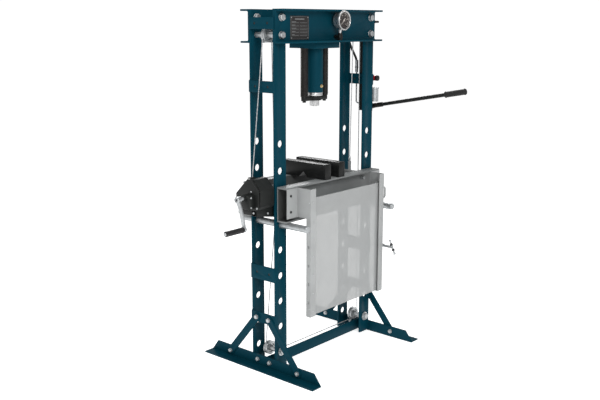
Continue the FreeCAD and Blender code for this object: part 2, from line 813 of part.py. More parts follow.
def pump_handle():
    """The hub on the pump's shaft and the long bar."""
    start, along, length = handle_line()
    hub = rod(V(barrel_x - handle_hub_half, handle_y, handle_z),
              V(barrel_x + handle_hub_half, handle_y, handle_z), handle_hub_radius)
    bar = rod(start, start.add(V(along).multiply(length)), handle_radius)
    socket = rod(start, start.add(V(along).multiply(handle_socket)), handle_radius + 3)
    under = box(barrel_x - 30, barrel_x + 30, barrel_y - barrel_radius - 1, handle_y + 20,
                handle_z + 17, handle_z + 60)
    part = hub.fuse(bar).fuse(socket).cut(under)
    shaft = rod(V(barrel_x - 20, handle_y, handle_z), V(barrel_x + 20, handle_y, handle_z),
                pivot_radius + shaft_clearance)
    return part.cut(shaft).removeSplitter()


def handle_grip():
    start, along, length = handle_line()
    near = start.add(V(along).multiply(length - handle_grip_length))
    collar = handle_grip_radius + grip_collar
    waist = handle_grip_radius - 1
    grip = [(handle_radius, 0), (collar, 0), (collar, 4), (waist, 8),
            (handle_grip_radius, handle_grip_length / 2), (waist, handle_grip_length - 8),
            (collar, handle_grip_length - 4), (collar, handle_grip_length + 3),
            (0, handle_grip_length + 3), (0, handle_grip_length), (handle_radius, handle_grip_length)]
    return turned(grip, near, along)


def release_knob():
    """The stem in the valve body and the round knob; profile runs out of the valve."""
    base = V(knob_x, valve_rear - 5, knob_z)
    stem, neck = knob_stem_length, knob_stem_length + 4
    profile = [(0, 0), (knob_stem_radius, 0), (knob_stem_radius, stem), (9, stem), (9, neck),
               (knob_radius - 1, neck), (knob_radius, neck + 2), (knob_radius, neck + 24),
               (knob_radius - 2, neck + 27), (0, neck + 27)]
    return turned(profile, base, V(0, -1, 0))


def rounded_path(points):
    """Straight runs joined by tangent arcs; each arc is as large as its two runs allow."""
    edges, here = [], points[0]
    for before, corner, after in zip(points, points[1:], points[2:]):
        a, b = corner.sub(before), after.sub(corner)
        ua, ub = V(a).normalize(), V(b).normalize()
        turn = ua.getAngle(ub)
        reach = 0.45 * min(a.Length, b.Length)
        radius = reach / math.tan(turn / 2)
        start = corner.sub(V(ua).multiply(reach))
        end = corner.add(V(ub).multiply(reach))
        toward = V(ub).sub(ua).normalize()
        middle = corner.add(V(toward).multiply(radius / math.cos(turn / 2) - radius))
        edges.append(Part.LineSegment(here, start).toShape())
        edges.append(Part.Arc(start, middle, end).toShape())
        print("  bend radius %.0f" % radius)
        here = end
    edges.append(Part.LineSegment(here, points[-1]).toShape())
    return edges


hose_points = [V(elbow_end_x, hose_y, port_z), V(hose_drop_x, hose_y, port_z),
               V(hose_drop_x + 2, 88, port_z - hose_bend_drops[0]),
               V(hose_drop_x, hose_drop_y + 2, port_z - hose_bend_drops[1]),
               V(hose_drop_x, hose_drop_y, hose_end_z)]


def pressure_hose():
    return pipe_along(rounded_path(hose_points), hose_radius)


def hose_adapters():
    """The elbow on the cylinder's rear port, and the pipe from the pump up to the hose."""
    reach = rod(V(0, port_reach, port_z), V(0, hose_y + elbow_radius, port_z), elbow_radius)
    elbow = rod(V(-11, hose_y, port_z), V(elbow_end_x, hose_y, port_z), elbow_radius)
    nut = hexagon(V(elbow_end_x - 12, hose_y, port_z), V(1, 0, 0), 22, 12)
    first = reach.fuse(elbow).fuse(nut).removeSplitter()
    ferrule_start = hose_end_z - ferrule_length
    pipe_points = [V(hose_drop_x, pump_plate_rear, pipe_start_z), V(hose_drop_x, hose_drop_y, pipe_start_z),
                   V(hose_drop_x, hose_drop_y, ferrule_start + 2)]
    pipe = pipe_along(rounded_path(pipe_points), pipe_radius)
    ferrule = rod(V(hose_drop_x, hose_drop_y, ferrule_start), V(hose_drop_x, hose_drop_y, hose_end_z),
                  ferrule_radius)
    return [first, pipe.fuse(ferrule).removeSplitter()]


# ---------------------------------------------------------------- bed

def bed_channel(rear):
    part = channel(bed_half_length, -bed_face, bed_channel_width, bed_bottom, bed_channel_height)
    return part.mirror(V(0, 0, 0), V(0, 1, 0)) if rear else part


def bed_spacers():
    """Plates between the two bed channels just inside the columns, each with a rope anchor."""
    plates = []
    for side in (-1, 1):
        x1 = column_inner - spacer_plate_gap
        x0 = x1 - spacer_plate_thickness
        plate_top = bed_top - spacer_below_flange
        plate = box(x0, x1, -bed_face, bed_face, bed_bottom + anchor_lug_top, plate_top)
        seat = box(anchor_x - 12, x1, -14, 14, plate_top - 8, plate_top)
        start = V(anchor_x, 0, plate_top)
        plate = plate.fuse(seat).fuse(rod(start, V(anchor_x, 0, bed_top + anchor_height), anchor_radius))
        if side < 0:
            lug_bottom = bed_bottom + anchor_lug_top - anchor_lug_height
            plate = plate.fuse(box(x0, x1, -12, 12, lug_bottom, bed_bottom + anchor_lug_top))
            plate = mirrored(plate)
        plates.append(plate.removeSplitter())
    return plates


def bed_bolts():
    """Screws that hold the spacer plates to the channel webs."""
    screws = []
    x = column_inner - spacer_plate_gap - spacer_plate_thickness / 2
    for side in (-1, 1):
        for s in (-1, 1):
            for z in (bed_bottom + 45, bed_top - 45):
                y = bed_face + web_thickness
                start = V(side * x, s * y, z)
                screws.append(hexagon(start, V(0, s, 0), small_head_af, small_head_height))
    return screws


def support_pin(side):
    x = side * column_middle
    profile = [(0, 0), (pin_radius - 2, 0), (pin_radius, 2), (pin_radius, pin_rear - pin_front - 2),
               (pin_radius - 2, pin_rear - pin_front), (0, pin_rear - pin_front)]
    bar = turned(profile, V(x, pin_front, pin_z), V(0, 1, 0))
    clip_y = -bed_tip - 6
    return bar.cut(rod(V(x, clip_y, pin_z - 20), V(x, clip_y, pin_z + 20), 2.5))


def vee_block(centre):
    """A bar across the bed; the vee is cut in the side that lies underneath."""
    half = block_width / 2
    part = box(centre - half, centre + half, -block_length / 2, block_length / 2,
               bed_top, bed_top + block_height)
    vee = prism([V(centre - half - 1, -vee_half_width, bed_top - 0.01),
                 V(centre - half - 1, 0, bed_top + vee_half_width),
                 V(centre - half - 1, vee_half_width, bed_top - 0.01)], V(block_width + 2, 0, 0))
    return part.cut(vee)


# ---------------------------------------------------------------- winch

def winch_section(inset, x0, x1):
    """The eight-sided section of the winch, inset from its outer face, as a prism along X."""
    slant = inset * (2 - math.sqrt(2))
    front_y, rear_y = winch_front_y + inset, winch_rear_y - inset
    low, high = winch_low + inset, winch_high - inset
    low_cut = winch_low_chamfer - slant
    front_cut, rear_cut = winch_front_chamfer - slant, winch_rear_chamfer - slant
    outline = [(front_y, low + low_cut), (front_y + low_cut, low), (rear_y - low_cut, low),
               (rear_y, low + low_cut), (rear_y, high - rear_cut), (rear_y - rear_cut, high),
               (front_y + front_cut, high), (front_y, high - front_cut)]
    return prism([V(x0, y, z) for y, z in outline], V(x1 - x0, 0, 0))


def along_x(x0, x1, y, z, radius):
    return rod(V(x0, y, z), V(x1, y, z), radius)


def rail(side):
    """One of the two rails under the housing, deeper towards the bed."""
    end_x = -column_inner + spacer_plate_gap
    top = winch_low + 1
    y0, y1 = sorted((side * rail_inner_y, side * rail_outer_y))
    outline = [(rail_left, top), (rail_left, winch_low - rail_drop_left),
               (end_x, bed_bottom + rail_above_bed), (end_x, top)]
    return prism([V(x, y0, z) for x, z in outline], V(0, y1 - y0, 0))


def winch_housing():
    """The eight-sided shell with the drum's inner bearing, and the rails that carry it on the bed."""
    face = winch_left + winch_wall
    shell = winch_section(0, face, winch_right)
    shell = shell.cut(winch_section(winch_wall, face - 1, winch_right - winch_wall))
    shell = shell.cut(box(drum_x - drum_half - 2, drum_x + drum_half + 2, -8, 8,
                          drum_z, winch_high + 1))
    inner = winch_right - winch_wall
    boss = along_x(inner - bearing_depth, inner, drum_y, drum_z, drum_shaft_radius + 6)
    shell = shell.fuse(boss).fuse(rail(-1)).fuse(rail(1))
    toe = box(rail_left, rail_left + 6, -rail_outer_y, rail_outer_y,
              winch_low - rail_drop_left, winch_low + 1)
    bore = along_x(inner - bearing_depth - 1, inner, drum_y, drum_z, drum_shaft_radius + shaft_clearance)
    return shell.fuse(toe).cut(bore).removeSplitter()


def winch_cover():
    """The flat cover with the drum's outer bearing inside and the crank's bearing block outside."""
    face = winch_left + winch_wall
    plate = winch_section(0, winch_left, face)
    block = box(block_left, winch_left, crank_y - block_front, crank_y + block_rear,
                crank_z - block_below, crank_z + block_above)
    boss = along_x(face, face + bearing_depth, drum_y, drum_z, drum_shaft_radius + 6)
    clear = along_x(face, face + bearing_depth + 1, crank_y, crank_z, pinion_radius + 2)
    part = plate.fuse(block).fuse(boss.cut(clear))
    bore = along_x(face, face + bearing_depth + 1, drum_y, drum_z, drum_shaft_radius + shaft_clearance)
    crank = along_x(block_left - 1, face + 1, crank_y, crank_z, crank_shaft_radius + shaft_clearance)
    return part.cut(bore).cut(crank).removeSplitter()


def winch_drum():
    """Drum, gear and shaft in one turning piece; the rope leaves the drum at its rear side."""
    left = winch_left + winch_wall + 1
    right = winch_right - winch_wall - 1
    near, far = drum_x - drum_half, drum_x + drum_half
    floor = drum_line - rope_radius - rope_clearance
    wheel = gear_radius - gear_gap
    profile = [(0, left), (drum_shaft_radius, left), (drum_shaft_radius, gear_x - gear_width),
               (wheel, gear_x - gear_width), (wheel, gear_x), (drum_shaft_radius + 4, gear_x),
               (drum_shaft_radius + 4, near - drum_flange), (drum_flange_radius, near - drum_flange),
               (drum_flange_radius, near), (floor, near), (floor, far), (drum_flange_radius, far),
               (drum_flange_radius, far + drum_flange), (drum_shaft_radius, far + drum_flange),
               (drum_shaft_radius, right), (0, right)]
    return turned(profile, V(0, drum_y, drum_z), V(1, 0, 0))


def crank_low_end():
    """Where the grip's pin meets the arm."""
    lean = math.radians(crank_lean)
    down = V(0, -math.sin(lean), -math.cos(lean))
    return V(crank_arm_x, crank_y, crank_z).add(V(down).multiply(crank_length)), down


def winch_crank():
    """Crank shaft with its pinion inside the housing, and the arm and grip pin outside."""
    outer = crank_arm_x - crank_arm_thickness / 2
    pinion = pinion_radius - gear_gap
    profile = [(0, gear_x), (pinion, gear_x), (pinion, gear_x - gear_width),
               (crank_shaft_radius, gear_x - gear_width), (crank_shaft_radius, outer + 20),
               (crank_hub_radius - 2, outer + 20), (crank_hub_radius - 2, outer), (0, outer)]
    shaft = turned(profile, V(0, crank_y, crank_z), V(1, 0, 0))
    low, down = crank_low_end()
    top = V(crank_arm_x, crank_y, crank_z)
    half = V(crank_arm_thickness / 2, 0, 0)
    side = V(0, down.z, -down.y).multiply(crank_arm_half)
    arm = prism([p.sub(half) for p in (top.add(side), low.add(side), low.sub(side), top.sub(side))],
                V(half).multiply(2))
    arm = arm.fuse(rod(top.sub(half), top.add(half), crank_hub_radius))
    arm = arm.fuse(rod(low.sub(half), low.add(half), crank_arm_half))
    pin = rod(low, low.sub(V(grip_length + crank_arm_thickness / 2 + 2, 0, 0)), grip_pin_radius)
    return shaft.fuse(arm).fuse(pin).removeSplitter()


def crank_grip():
    low, _ = crank_low_end()
    base = low.sub(V(crank_arm_thickness / 2 + 1, 0, 0))
    bore = grip_pin_radius + shaft_clearance
    profile = [(bore, 0), (grip_radius - 1, 0), (grip_radius, 3), (grip_radius - 1.5, grip_length / 2),
               (grip_radius, grip_length - 4), (grip_radius - 2, grip_length), (bore, grip_length)]
    return turned(profile, base, V(-1, 0, 0))


# ---------------------------------------------------------------- guard

def guard_rail():
    """The left rail: a folded sheet that is bolted to the bed and guides the clear panel."""
    t, x, y = guard_sheet, -guard_half_width, guard_front_y
    back = y + guard_rail_depth
    side = box(x, x + t, y, back, guard_bottom, guard_top)
    front = box(x, x + guard_lip, y, y + t, guard_bottom, guard_top)
    rear = box(x, x + guard_lip, back - t, back, guard_bottom, guard_top)
    seat = -bed_tip - t
    bracket_top = bed_top - bracket_drop
    arm = box(x, x + t, y, -bed_tip, bracket_bottom, bracket_top)
    cheek = box(x, x + guard_lip, y, y + t, bracket_bottom, bracket_top)
    pad = box(-bed_half_length + pad_inset, x + t, seat, -bed_tip, bracket_bottom, bracket_top)
    stop = box(x, x + guard_lip, y, back, guard_bottom, guard_bottom + t)
    part = side.fuse(front).fuse(rear).fuse(stop).fuse(arm).fuse(cheek).fuse(pad).removeSplitter()
    for i in range(slot_count):
        z = guard_bottom + 75 + i * slot_pitch
        part = part.cut(box(x - 1, x + t + 1, y + 9, y + 17, z - 7, z + 7))
    return part


def guard_panel():
    t = guard_sheet
    half = guard_half_width - t - panel_gap
    middle = guard_front_y + guard_rail_depth / 2
    return box(-half, half, middle - guard_panel_thickness / 2, middle + guard_panel_thickness / 2,
               guard_bottom + t + panel_gap, guard_top - 4)


def guard_lock_lever():
    """The clamp lever on the right rail: hub, arm towards the front and cross handle."""
    x, y = guard_half_width, guard_front_y + guard_rail_depth / 2
    hub = rod(V(x + panel_gap, y, lock_z), V(x + 26, y, lock_z), lock_hub_radius)
    arm = box(x + 14, x + 22, y - lock_reach, y, lock_z - 7, lock_z + 7)
    end = V(x + 18, y - lock_reach, lock_z)
    lean = math.radians(lock_handle_lean)
    along = V(0, -math.sin(lean), -math.cos(lean)).multiply(lock_handle_half)
    handle = rod(end.sub(along), end.add(along), lock_handle_radius)
    return hub.fuse(arm).fuse(handle).removeSplitter()


# ---------------------------------------------------------------- build

save("upright_front_left", upright(-1, False))
save("upright_rear_left", upright(-1, True))
save("upright_front_right", upright(1, False))
save("upright_rear_right", upright(1, True))
save_group("tie_plates", tie_plates())
save("head_channel_front", head_channel(False))
save("head_channel_rear", head_channel(True))
save_group("head_bolts", head_bolts())
save("foot_left", foot())
save("foot_right", mirrored(foot()))
save_group("braces", [brace(-1), brace(1), mirrored(brace(-1)), mirrored(brace(1))])
save_group("foot_bolts", foot_bolts())
save("cross_beam", cross_beam())
save("cylinder_plate", cylinder_plate())
save("cylinder_body", cylinder_body())
save("cylinder_gland", cylinder_gland())
save("ram", ram())
save("spring_crossbar", spring_crossbar())
save("return_spring_left", return_spring(-1))
save("return_spring_right", return_spring(1))
save("gauge_case", gauge_case())
save("gauge_dial", gauge_dial())
save("gauge_glass", gauge_glass())
save("gauge_needle", gauge_needle())
save("gauge_fitting", gauge_fitting())
save("pulley_top_left", pulley(-column_middle, top_pulley_z))
save("pulley_low_left", pulley(-column_middle, low_pulley_z))
save("pulley_low_right", pulley(column_middle, low_pulley_z))
save("pulley_top_right", pulley(column_middle, top_pulley_z))
save_group("pulley_axles", pulley_axles())
ropes = {name: pipe_along(run, rope_radius) for name, run in rope_paths().items()}
save("winch_rope", ropes["winch"])
save_group("bed_ropes", [ropes["left"], ropes["right"]])
save("level_rope", ropes["level"])
save_group("pulley_ropes", [ropes["over"], ropes["frame"]])
save("pump_block", pump_block())
save("pump_reservoir", pump_reservoir())
save("pump_cylinder", pump_cylinder())
save("pump_plunger", pump_plunger())
save("pump_handle", pump_handle())
save("handle_grip", handle_grip())
save("release_knob", release_knob())
save("pressure_hose", pressure_hose())
save_group("hose_adapters", hose_adapters())
save("bed_channel_front", bed_channel(False))
save("bed_channel_rear", bed_channel(True))
save_group("bed_spacers", bed_spacers())
save_group("bed_bolts", bed_bolts())
save("support_pin_left", support_pin(-1))
save("support_pin_right", support_pin(1))
save("vee_block_left", vee_block(block_centres[0]))
save("vee_block_right", vee_block(block_centres[1]))
save("winch_housing", winch_housing())
save("winch_cover", winch_cover())
save("winch_drum", winch_drum())
save("winch_crank", winch_crank())
save("crank_grip", crank_grip())
save("guard_rail_left", guard_rail())
save("guard_rail_right", mirrored(guard_rail()))
save("guard_panel", guard_panel())
save("guard_lock_lever", guard_lock_lever())
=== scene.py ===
import json
import math
import random

import bmesh
import bpy
from mathutils import Matrix, Vector

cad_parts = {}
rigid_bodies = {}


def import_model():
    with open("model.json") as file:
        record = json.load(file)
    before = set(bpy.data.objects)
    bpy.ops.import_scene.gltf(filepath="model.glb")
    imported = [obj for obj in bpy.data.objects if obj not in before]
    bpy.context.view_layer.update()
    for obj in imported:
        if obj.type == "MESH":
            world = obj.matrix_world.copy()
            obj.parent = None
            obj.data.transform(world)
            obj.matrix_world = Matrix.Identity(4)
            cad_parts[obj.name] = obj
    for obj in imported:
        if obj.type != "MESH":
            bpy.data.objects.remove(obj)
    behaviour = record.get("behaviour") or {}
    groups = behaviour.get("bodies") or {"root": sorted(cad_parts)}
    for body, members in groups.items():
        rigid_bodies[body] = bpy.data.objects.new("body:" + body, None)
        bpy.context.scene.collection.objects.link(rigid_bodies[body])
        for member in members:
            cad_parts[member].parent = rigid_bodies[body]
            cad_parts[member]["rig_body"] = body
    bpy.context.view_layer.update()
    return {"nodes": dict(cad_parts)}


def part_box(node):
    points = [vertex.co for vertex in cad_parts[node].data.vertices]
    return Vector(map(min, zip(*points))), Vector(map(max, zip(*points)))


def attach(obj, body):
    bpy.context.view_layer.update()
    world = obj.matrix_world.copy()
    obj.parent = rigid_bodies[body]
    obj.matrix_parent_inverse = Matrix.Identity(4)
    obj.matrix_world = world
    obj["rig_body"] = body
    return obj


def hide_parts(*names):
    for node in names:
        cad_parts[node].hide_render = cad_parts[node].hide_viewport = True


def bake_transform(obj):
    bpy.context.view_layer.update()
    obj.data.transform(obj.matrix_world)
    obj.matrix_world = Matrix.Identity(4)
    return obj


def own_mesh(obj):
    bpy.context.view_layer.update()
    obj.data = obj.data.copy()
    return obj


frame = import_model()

random.seed(11)
X, Y, Z = Vector((1, 0, 0)), Vector((0, 1, 0)), Vector((0, 0, 1))
MM = 0.001  # metres in a millimetre
FRONT = math.radians(90)  # turns a flat shape upright, facing the front

# Places and sizes on the press, in millimetres from the middle of its floor.
COLUMN_X = 350  # middle of each column, its pulleys and its support pin
BOLT_HOLE_Y = 42  # bolt holes in the ties and at the feet, either side of the middle
TIE_FACE = 391  # just outside the columns' outer edges, where the ties lie
TIE_HEIGHTS = (1734, 1435, 504)
HEAD_FACE = 90.5  # outer face of each head channel
UPRIGHT_INNER_FACE = 72.5  # inner face of the front and rear uprights
BED_WELD_Y = 83.5
BED_BOLT_HEIGHTS = (823.6, 907.6)
ROPE_END_X = 302  # the ropes' ends on the bed, above it and below it
ROPE_END_Z = 988.9
ROPE_END_UNDER_Z = 776
PULLEY_TOP_Z = 1678.5
PULLEY_LOW_Z = 97
ROPE_TURN = 30  # radius of the rope's middle line on a pulley
ROPE_STEP = 2.2  # distance between the rings of the rope's skin
ROPE_LAY = 28  # length along the rope in which a strand goes round once
SPRING_X = 80
CROSSBAR_LOW = 1345
CROSSBAR_TOP = 1367
SPRING_TOP = 1610
PORT_Z = 1668  # height of the gauge's oil pipe and of the hose's port
GAUGE_X = 50
GAUGE_STEM_Y = -125
CRANK_TOP = (-600, -30, 915)  # where the arm sits on its shaft
CRANK_END = (-600, -74.02, 777.89)  # where the handgrip's pin stands on the arm
WINCH_FACE_X = -506  # where the winch's cover meets its shell
BEARING_FACE_X = -552  # outer face of the crank's bearing block
LOCK_Y = -221
LOCK_Z = 545
TANK_X = 437.5
PUMP_X = 430
HANDLE_PIVOT = (-45, 1286)  # Y and Z
HOSE_END = (412, 44)  # X and Y of the lower end

# Colours and edge radii for the finishes.
WHITE = (1.0, 1.0, 1.0)
SHADOW = (0.018, 0.018, 0.017)
PAINT_EDGE = 1.4 * MM
FINE_EDGE = 0.6 * MM


# ---- camera, floor and light

def make_camera():
    data = bpy.data.cameras.new("camera")
    data.sensor_width = 36.0
    data.lens = 50.64
    camera = bpy.data.objects.new("camera", data)
    camera.location = (-3.335, -2.830, 1.737)
    camera.rotation_euler = (math.radians(78.12), 0.0, math.radians(-48.71))
    bpy.context.scene.collection.objects.link(camera)
    bpy.context.scene.camera = camera


def area_light(name, place, aim, size, power):
    data = bpy.data.lights.new(name, "AREA")
    data.shape = "DISK"
    data.size = size
    data.energy = power
    light = bpy.data.objects.new(name, data)
    light.location = place
    light.rotation_euler = (Vector(aim) - Vector(place)).to_track_quat("-Z", "Y").to_euler()
    bpy.context.scene.collection.objects.link(light)


def make_world():
    """White behind the press; a softer grey lights it, so that dark paint stays dark."""
    world = bpy.data.worlds.new("studio")
    world.use_nodes = True
    nodes, links = world.node_tree.nodes, world.node_tree.links
    seen = nodes["Background"]
    seen.inputs["Color"].default_value = (*WHITE, 1.0)
    seen.inputs["Strength"].default_value = 1.05
    lighting = nodes.new("ShaderNodeBackground")
    lighting.inputs["Color"].default_value = (*WHITE, 1.0)
    lighting.inputs["Strength"].default_value = 0.40
    chosen = nodes.new("ShaderNodeMixShader")
    rays = nodes.new("ShaderNodeLightPath")
    links.new(rays.outputs["Is Camera Ray"], chosen.inputs["Fac"])
    links.new(lighting.outputs["Background"], chosen.inputs[1])
    links.new(seen.outputs["Background"], chosen.inputs[2])
    links.new(chosen.outputs["Shader"], nodes["World Output"].inputs["Surface"])
    bpy.context.scene.world = world


def make_studio():
    """The world, four soft lights and a wide pale floor."""
    bpy.context.scene.view_settings.view_transform = "Standard"
    make_world()
    area_light("key", (-2.0, -3.8, 3.2), (0.0, 0.0, 1.0), 1.8, 105.0)
    area_light("side", (-4.2, 1.0, 2.2), (0.0, 0.0, 1.0), 1.6, 30.0)
    area_light("rim", (2.8, 2.6, 3.2), (0.0, 0.0, 1.1), 1.4, 60.0)
    area_light("top", (0.0, 0.0, 4.4), (0.0, 0.0, 0.0), 3.0, 60.0)
    bm = bmesh.new()
    bmesh.ops.create_circle(bm, cap_ends=True, segments=96, radius=60.0)
    mesh = bpy.data.meshes.new("floor")
    bm.to_mesh(mesh)
    bm.free()
    floor = bpy.data.objects.new("floor", mesh)
    bpy.context.scene.collection.objects.link(floor)
    mesh.materials.append(floor_finish())


# ---- shader maths

class Value:
    """A node's socket, so that shader maths reads as an expression."""

    def __init__(self, finish, socket):
        self.finish = finish
        self.socket = socket

    def __add__(self, other):
        return self.finish.math("ADD", self, other)

    def __rsub__(self, other):
        return self.finish.math("SUBTRACT", other, self)

    def __mul__(self, other):
        return self.finish.math("MULTIPLY", self, other)

    def clamped(self):
        return self.finish.math("ADD", self, 0.0, clamp=True)


class Finish:
    """One material and the nodes that make it."""

    def __init__(self, name):
        self.material = bpy.data.materials.new(name)
        self.material.use_nodes = True
        self.tree = self.material.node_tree
        self.shader = self.tree.nodes["Principled BSDF"]

    def node(self, kind, settings=None, values=None, out=0):
        """A node: its settings first, then the value or link of each socket, found by identifier or name."""
        made = self.tree.nodes.new(kind)
        for key, value in (settings or {}).items():
            setattr(made, key, value)
        for key, value in (values or {}).items():
            named = [s for s in made.inputs if s.identifier == key] or [made.inputs[key]]
            self.feed(named[0], value)
        outs = [s for s in made.outputs if s.identifier == out]
        return Value(self, outs[0] if outs else made.outputs[out])

    def feed(self, socket, value):
        if isinstance(value, Value):
            self.tree.links.new(value.socket, socket)
        elif socket.type == "RGBA" and len(value) == 3:
            socket.default_value = (*value, 1.0)
        else:
            socket.default_value = value

    def math(self, operation, first, second, clamp=False):
        return self.node("ShaderNodeMath", {"operation": operation, "use_clamp": clamp},
                         {"Value": first, "Value_001": second})

    def place(self):
        return self.node("ShaderNodeTexCoord", out="Object")

    def noise(self, scale, detail=3.0, stretch=(1, 1, 1), roughness=0.55):
        spot = self.node("ShaderNodeMapping", values={"Vector": self.place(), "Scale": stretch})
        return self.node("ShaderNodeTexNoise", values={
            "Vector": spot, "Scale": scale, "Detail": detail, "Roughness": roughness})

    def mix(self, share, first, second):
        return self.node("ShaderNodeMix", {"data_type": "RGBA"}, {
            "Factor_Float": share, "A_Color": first, "B_Color": second}, out="Result_Color")

    def steps(self, value, low, high):
        """0 below low, 1 above high, and a ramp between."""
        return self.node("ShaderNodeMapRange", {"clamp": True}, {
            "Value": value, "From Min": low, "From Max": high, "To Min": 0.0, "To Max": 1.0})

    def edges(self, radius):
        """Rounded normals, and a mask that is 1 on outer and inner edges."""
        rounded = self.node("ShaderNodeBevel", {"samples": 4}, {"Radius": radius})
        flat = self.node("ShaderNodeNewGeometry", out="Normal")
        turn = self.node("ShaderNodeVectorMath", {"operation": "DOT_PRODUCT"},
                         {"Vector": rounded, "Vector_001": flat}, out="Value")
        return rounded, self.steps(1.0 - turn, 0.02, 0.25)

    def bump(self, height, strength, distance, normal):
        return self.node("ShaderNodeBump", values={
            "Height": height, "Strength": strength, "Distance": distance, "Normal": normal})

    def paint_tone(self, cloud, edge, colour, worn):
        """Soft changes of tone, with the edges rubbed a little lighter in patches."""
        rub = self.noise(140.0, 5.0, roughness=0.7)
        dark = tuple(c * 0.86 for c in colour)
        tone = self.mix(self.steps(cloud, 0.35, 0.65), dark, colour)
        return self.mix((edge * self.steps(rub, 0.45, 0.62) * 0.5).clamped(), tone, worn)

    def shade(self, **values):
        for key, value in values.items():
            self.feed(self.shader.inputs[key.replace("_", " ")], value)
        return self.material


# ---- finishes

def floor_finish():
    """A near-white floor that glows a little, so that it meets the background without a line."""
    finish = Finish("pale_floor")
    mottle = finish.noise(3.0)
    tone = finish.mix(mottle, (0.90, 0.90, 0.90), (0.93, 0.93, 0.93))
    return finish.shade(Base_Color=tone, Roughness=0.9, Specular_IOR_Level=0.1,
                        Emission_Color=WHITE, Emission_Strength=0.67)


def painted(name, colour, worn, gloss, gleam):
    """Sprayed paint: fine orange peel, soft tone changes and edges rubbed a little lighter."""
    finish = Finish(name)
    rounded, edge = finish.edges(PAINT_EDGE)
    tone = finish.paint_tone(finish.noise(5.0, 4.0), edge, colour, worn)
    dust = finish.noise(46.0, 6.0, roughness=0.65)
    peel = finish.noise(900.0, 2.0)
    rough = finish.steps(dust, 0.3, 0.75) * 0.14 + gloss
    return finish.shade(Base_Color=tone, Roughness=rough, Specular_IOR_Level=gleam,
                        Normal=finish.bump(peel, 0.08, 0.3 * MM, rounded))


def bed_paint(name, colour, worn):
    """Grey paint on the bed, with painted shade on the inner web faces and in the front channel's open left
    end.
    """
    low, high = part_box("bed_channel_front")
    finish = Finish(name)
    rounded, edge = finish.edges(PAINT_EDGE)
    cloud = finish.noise(5.0, 4.0)
    x, y, z = (finish.node("ShaderNodeSeparateXYZ", values={"Vector": finish.place()}, out=axis)
               for axis in "XYZ")
    # Masks for painted shade: the web faces that look at each other across the bed, and the hollow of the
    # front channel's left end.
    reach = finish.math("ABSOLUTE", y, 0.0)
    between = finish.steps(reach, -high.y + 0.0012, -high.y + 0.0006)
    within_flanges = finish.steps(reach, -high.y + 0.0070, -high.y + 0.0078)
    near_end = finish.steps(x, low.x + 0.10, low.x + 0.06)
    over_foot = finish.steps(z, low.z + 0.006, low.z + 0.009)
    under_top = finish.steps(z, high.z - 0.006, high.z - 0.009)
    inside = within_flanges * near_end * over_foot * under_top
    tone = finish.paint_tone(cloud, edge, colour, worn)
    # Painted shade: both masks darken the paint toward SHADOW.
    tone = finish.mix((between * 0.72 + inside * 0.88).clamped(), tone, SHADOW)
    peel = finish.noise(900.0, 2.0)
    return finish.shade(Base_Color=tone, Roughness=finish.steps(cloud, 0.3, 0.75) * 0.1 + 0.42,
                        Specular_IOR_Level=0.22, Normal=finish.bump(peel, 0.08, 0.3 * MM, rounded))


def plated(name, colour, gloss=0.30, stretch=(1, 1, 1)):
    """Zinc plate or ground steel: a faint crystal mottle, fine scratches and brighter edges."""
    finish = Finish(name)
    rounded, edge = finish.edges(FINE_EDGE)
    spangle = finish.node("ShaderNodeTexVoronoi", {"feature": "F1"},
                          {"Vector": finish.place(), "Scale": 260.0}, out="Color")
    grey = finish.node("ShaderNodeSeparateColor", values={"Color": spangle}, out="Red")
    cloud = finish.noise(38.0, 4.0)
    scratch = finish.noise(420.0, 2.0, stretch)
    dull = tuple(c * 0.72 for c in colour)
    tone = finish.mix(finish.steps(cloud, 0.3, 0.7), dull, colour)
    tone = finish.mix((grey * 0.18 + edge * 0.2).clamped(), tone, (0.86, 0.87, 0.88))
    rough = grey * 0.10 + finish.steps(scratch, 0.4, 0.7) * 0.10 + gloss
    return finish.shade(Base_Color=tone, Metallic=0.85, Roughness=rough,
                        Normal=finish.bump(scratch, 0.10, 0.1 * MM, rounded))


def moulded(name, colour, gloss=0.5):
    """Moulded plastic or rubber: a fine pebble grain and scuffed edges."""
    finish = Finish(name)
    rounded, edge = finish.edges(FINE_EDGE)
    pebble = finish.noise(1500.0, 3.0)
    wipe = finish.noise(60.0, 4.0)
    light = tuple(min(1.0, c * 1.8 + 0.01) for c in colour)
    tone = finish.mix((finish.steps(wipe, 0.4, 0.8) * 0.25 + edge * 0.3).clamped(), colour, light)
    rough = finish.steps(wipe, 0.3, 0.8) * 0.12 + gloss
    return finish.shade(Base_Color=tone, Roughness=rough, Specular_IOR_Level=0.3,
                        Normal=finish.bump(pebble, 0.25, 0.2 * MM, rounded))


def smoked_sheet():
    """Tinted clear sheet with a faint haze of fine wipe marks."""
    finish = Finish("smoked_sheet")
    haze = finish.noise(9.0, 5.0)
    tone = finish.mix(finish.steps(haze, 0.3, 0.8), (0.36, 0.37, 0.37), (0.40, 0.41, 0.41))
    return finish.shade(Base_Color=tone, Roughness=finish.steps(haze, 0.2, 0.8) * 0.1 + 0.28,
                        Alpha=0.74, Specular_IOR_Level=0.3)


def clear_glass():
    """The gauge's thin glass, nearly clear, with a faint smear."""
    finish = Finish("gauge_glass")
    smear = finish.noise(30.0, 3.0)
    return finish.shade(Base_Color=(0.10, 0.11, 0.11), Alpha=0.07, Specular_IOR_Level=0.15,
                        Roughness=finish.steps(smear, 0.4, 0.8) * 0.05 + 0.08)


def rope_finish():
    """Galvanised wire with grime between the strands."""
    finish = Finish("wire_rope")
    grime = finish.noise(90.0, 4.0)
    tone = finish.mix(finish.steps(grime, 0.4, 0.7), (0.52, 0.53, 0.54), (0.28, 0.29, 0.30))
    rough = finish.steps(grime, 0.3, 0.8) * 0.15 + 0.35
    return finish.shade(Base_Color=tone, Metallic=0.6, Roughness=rough)


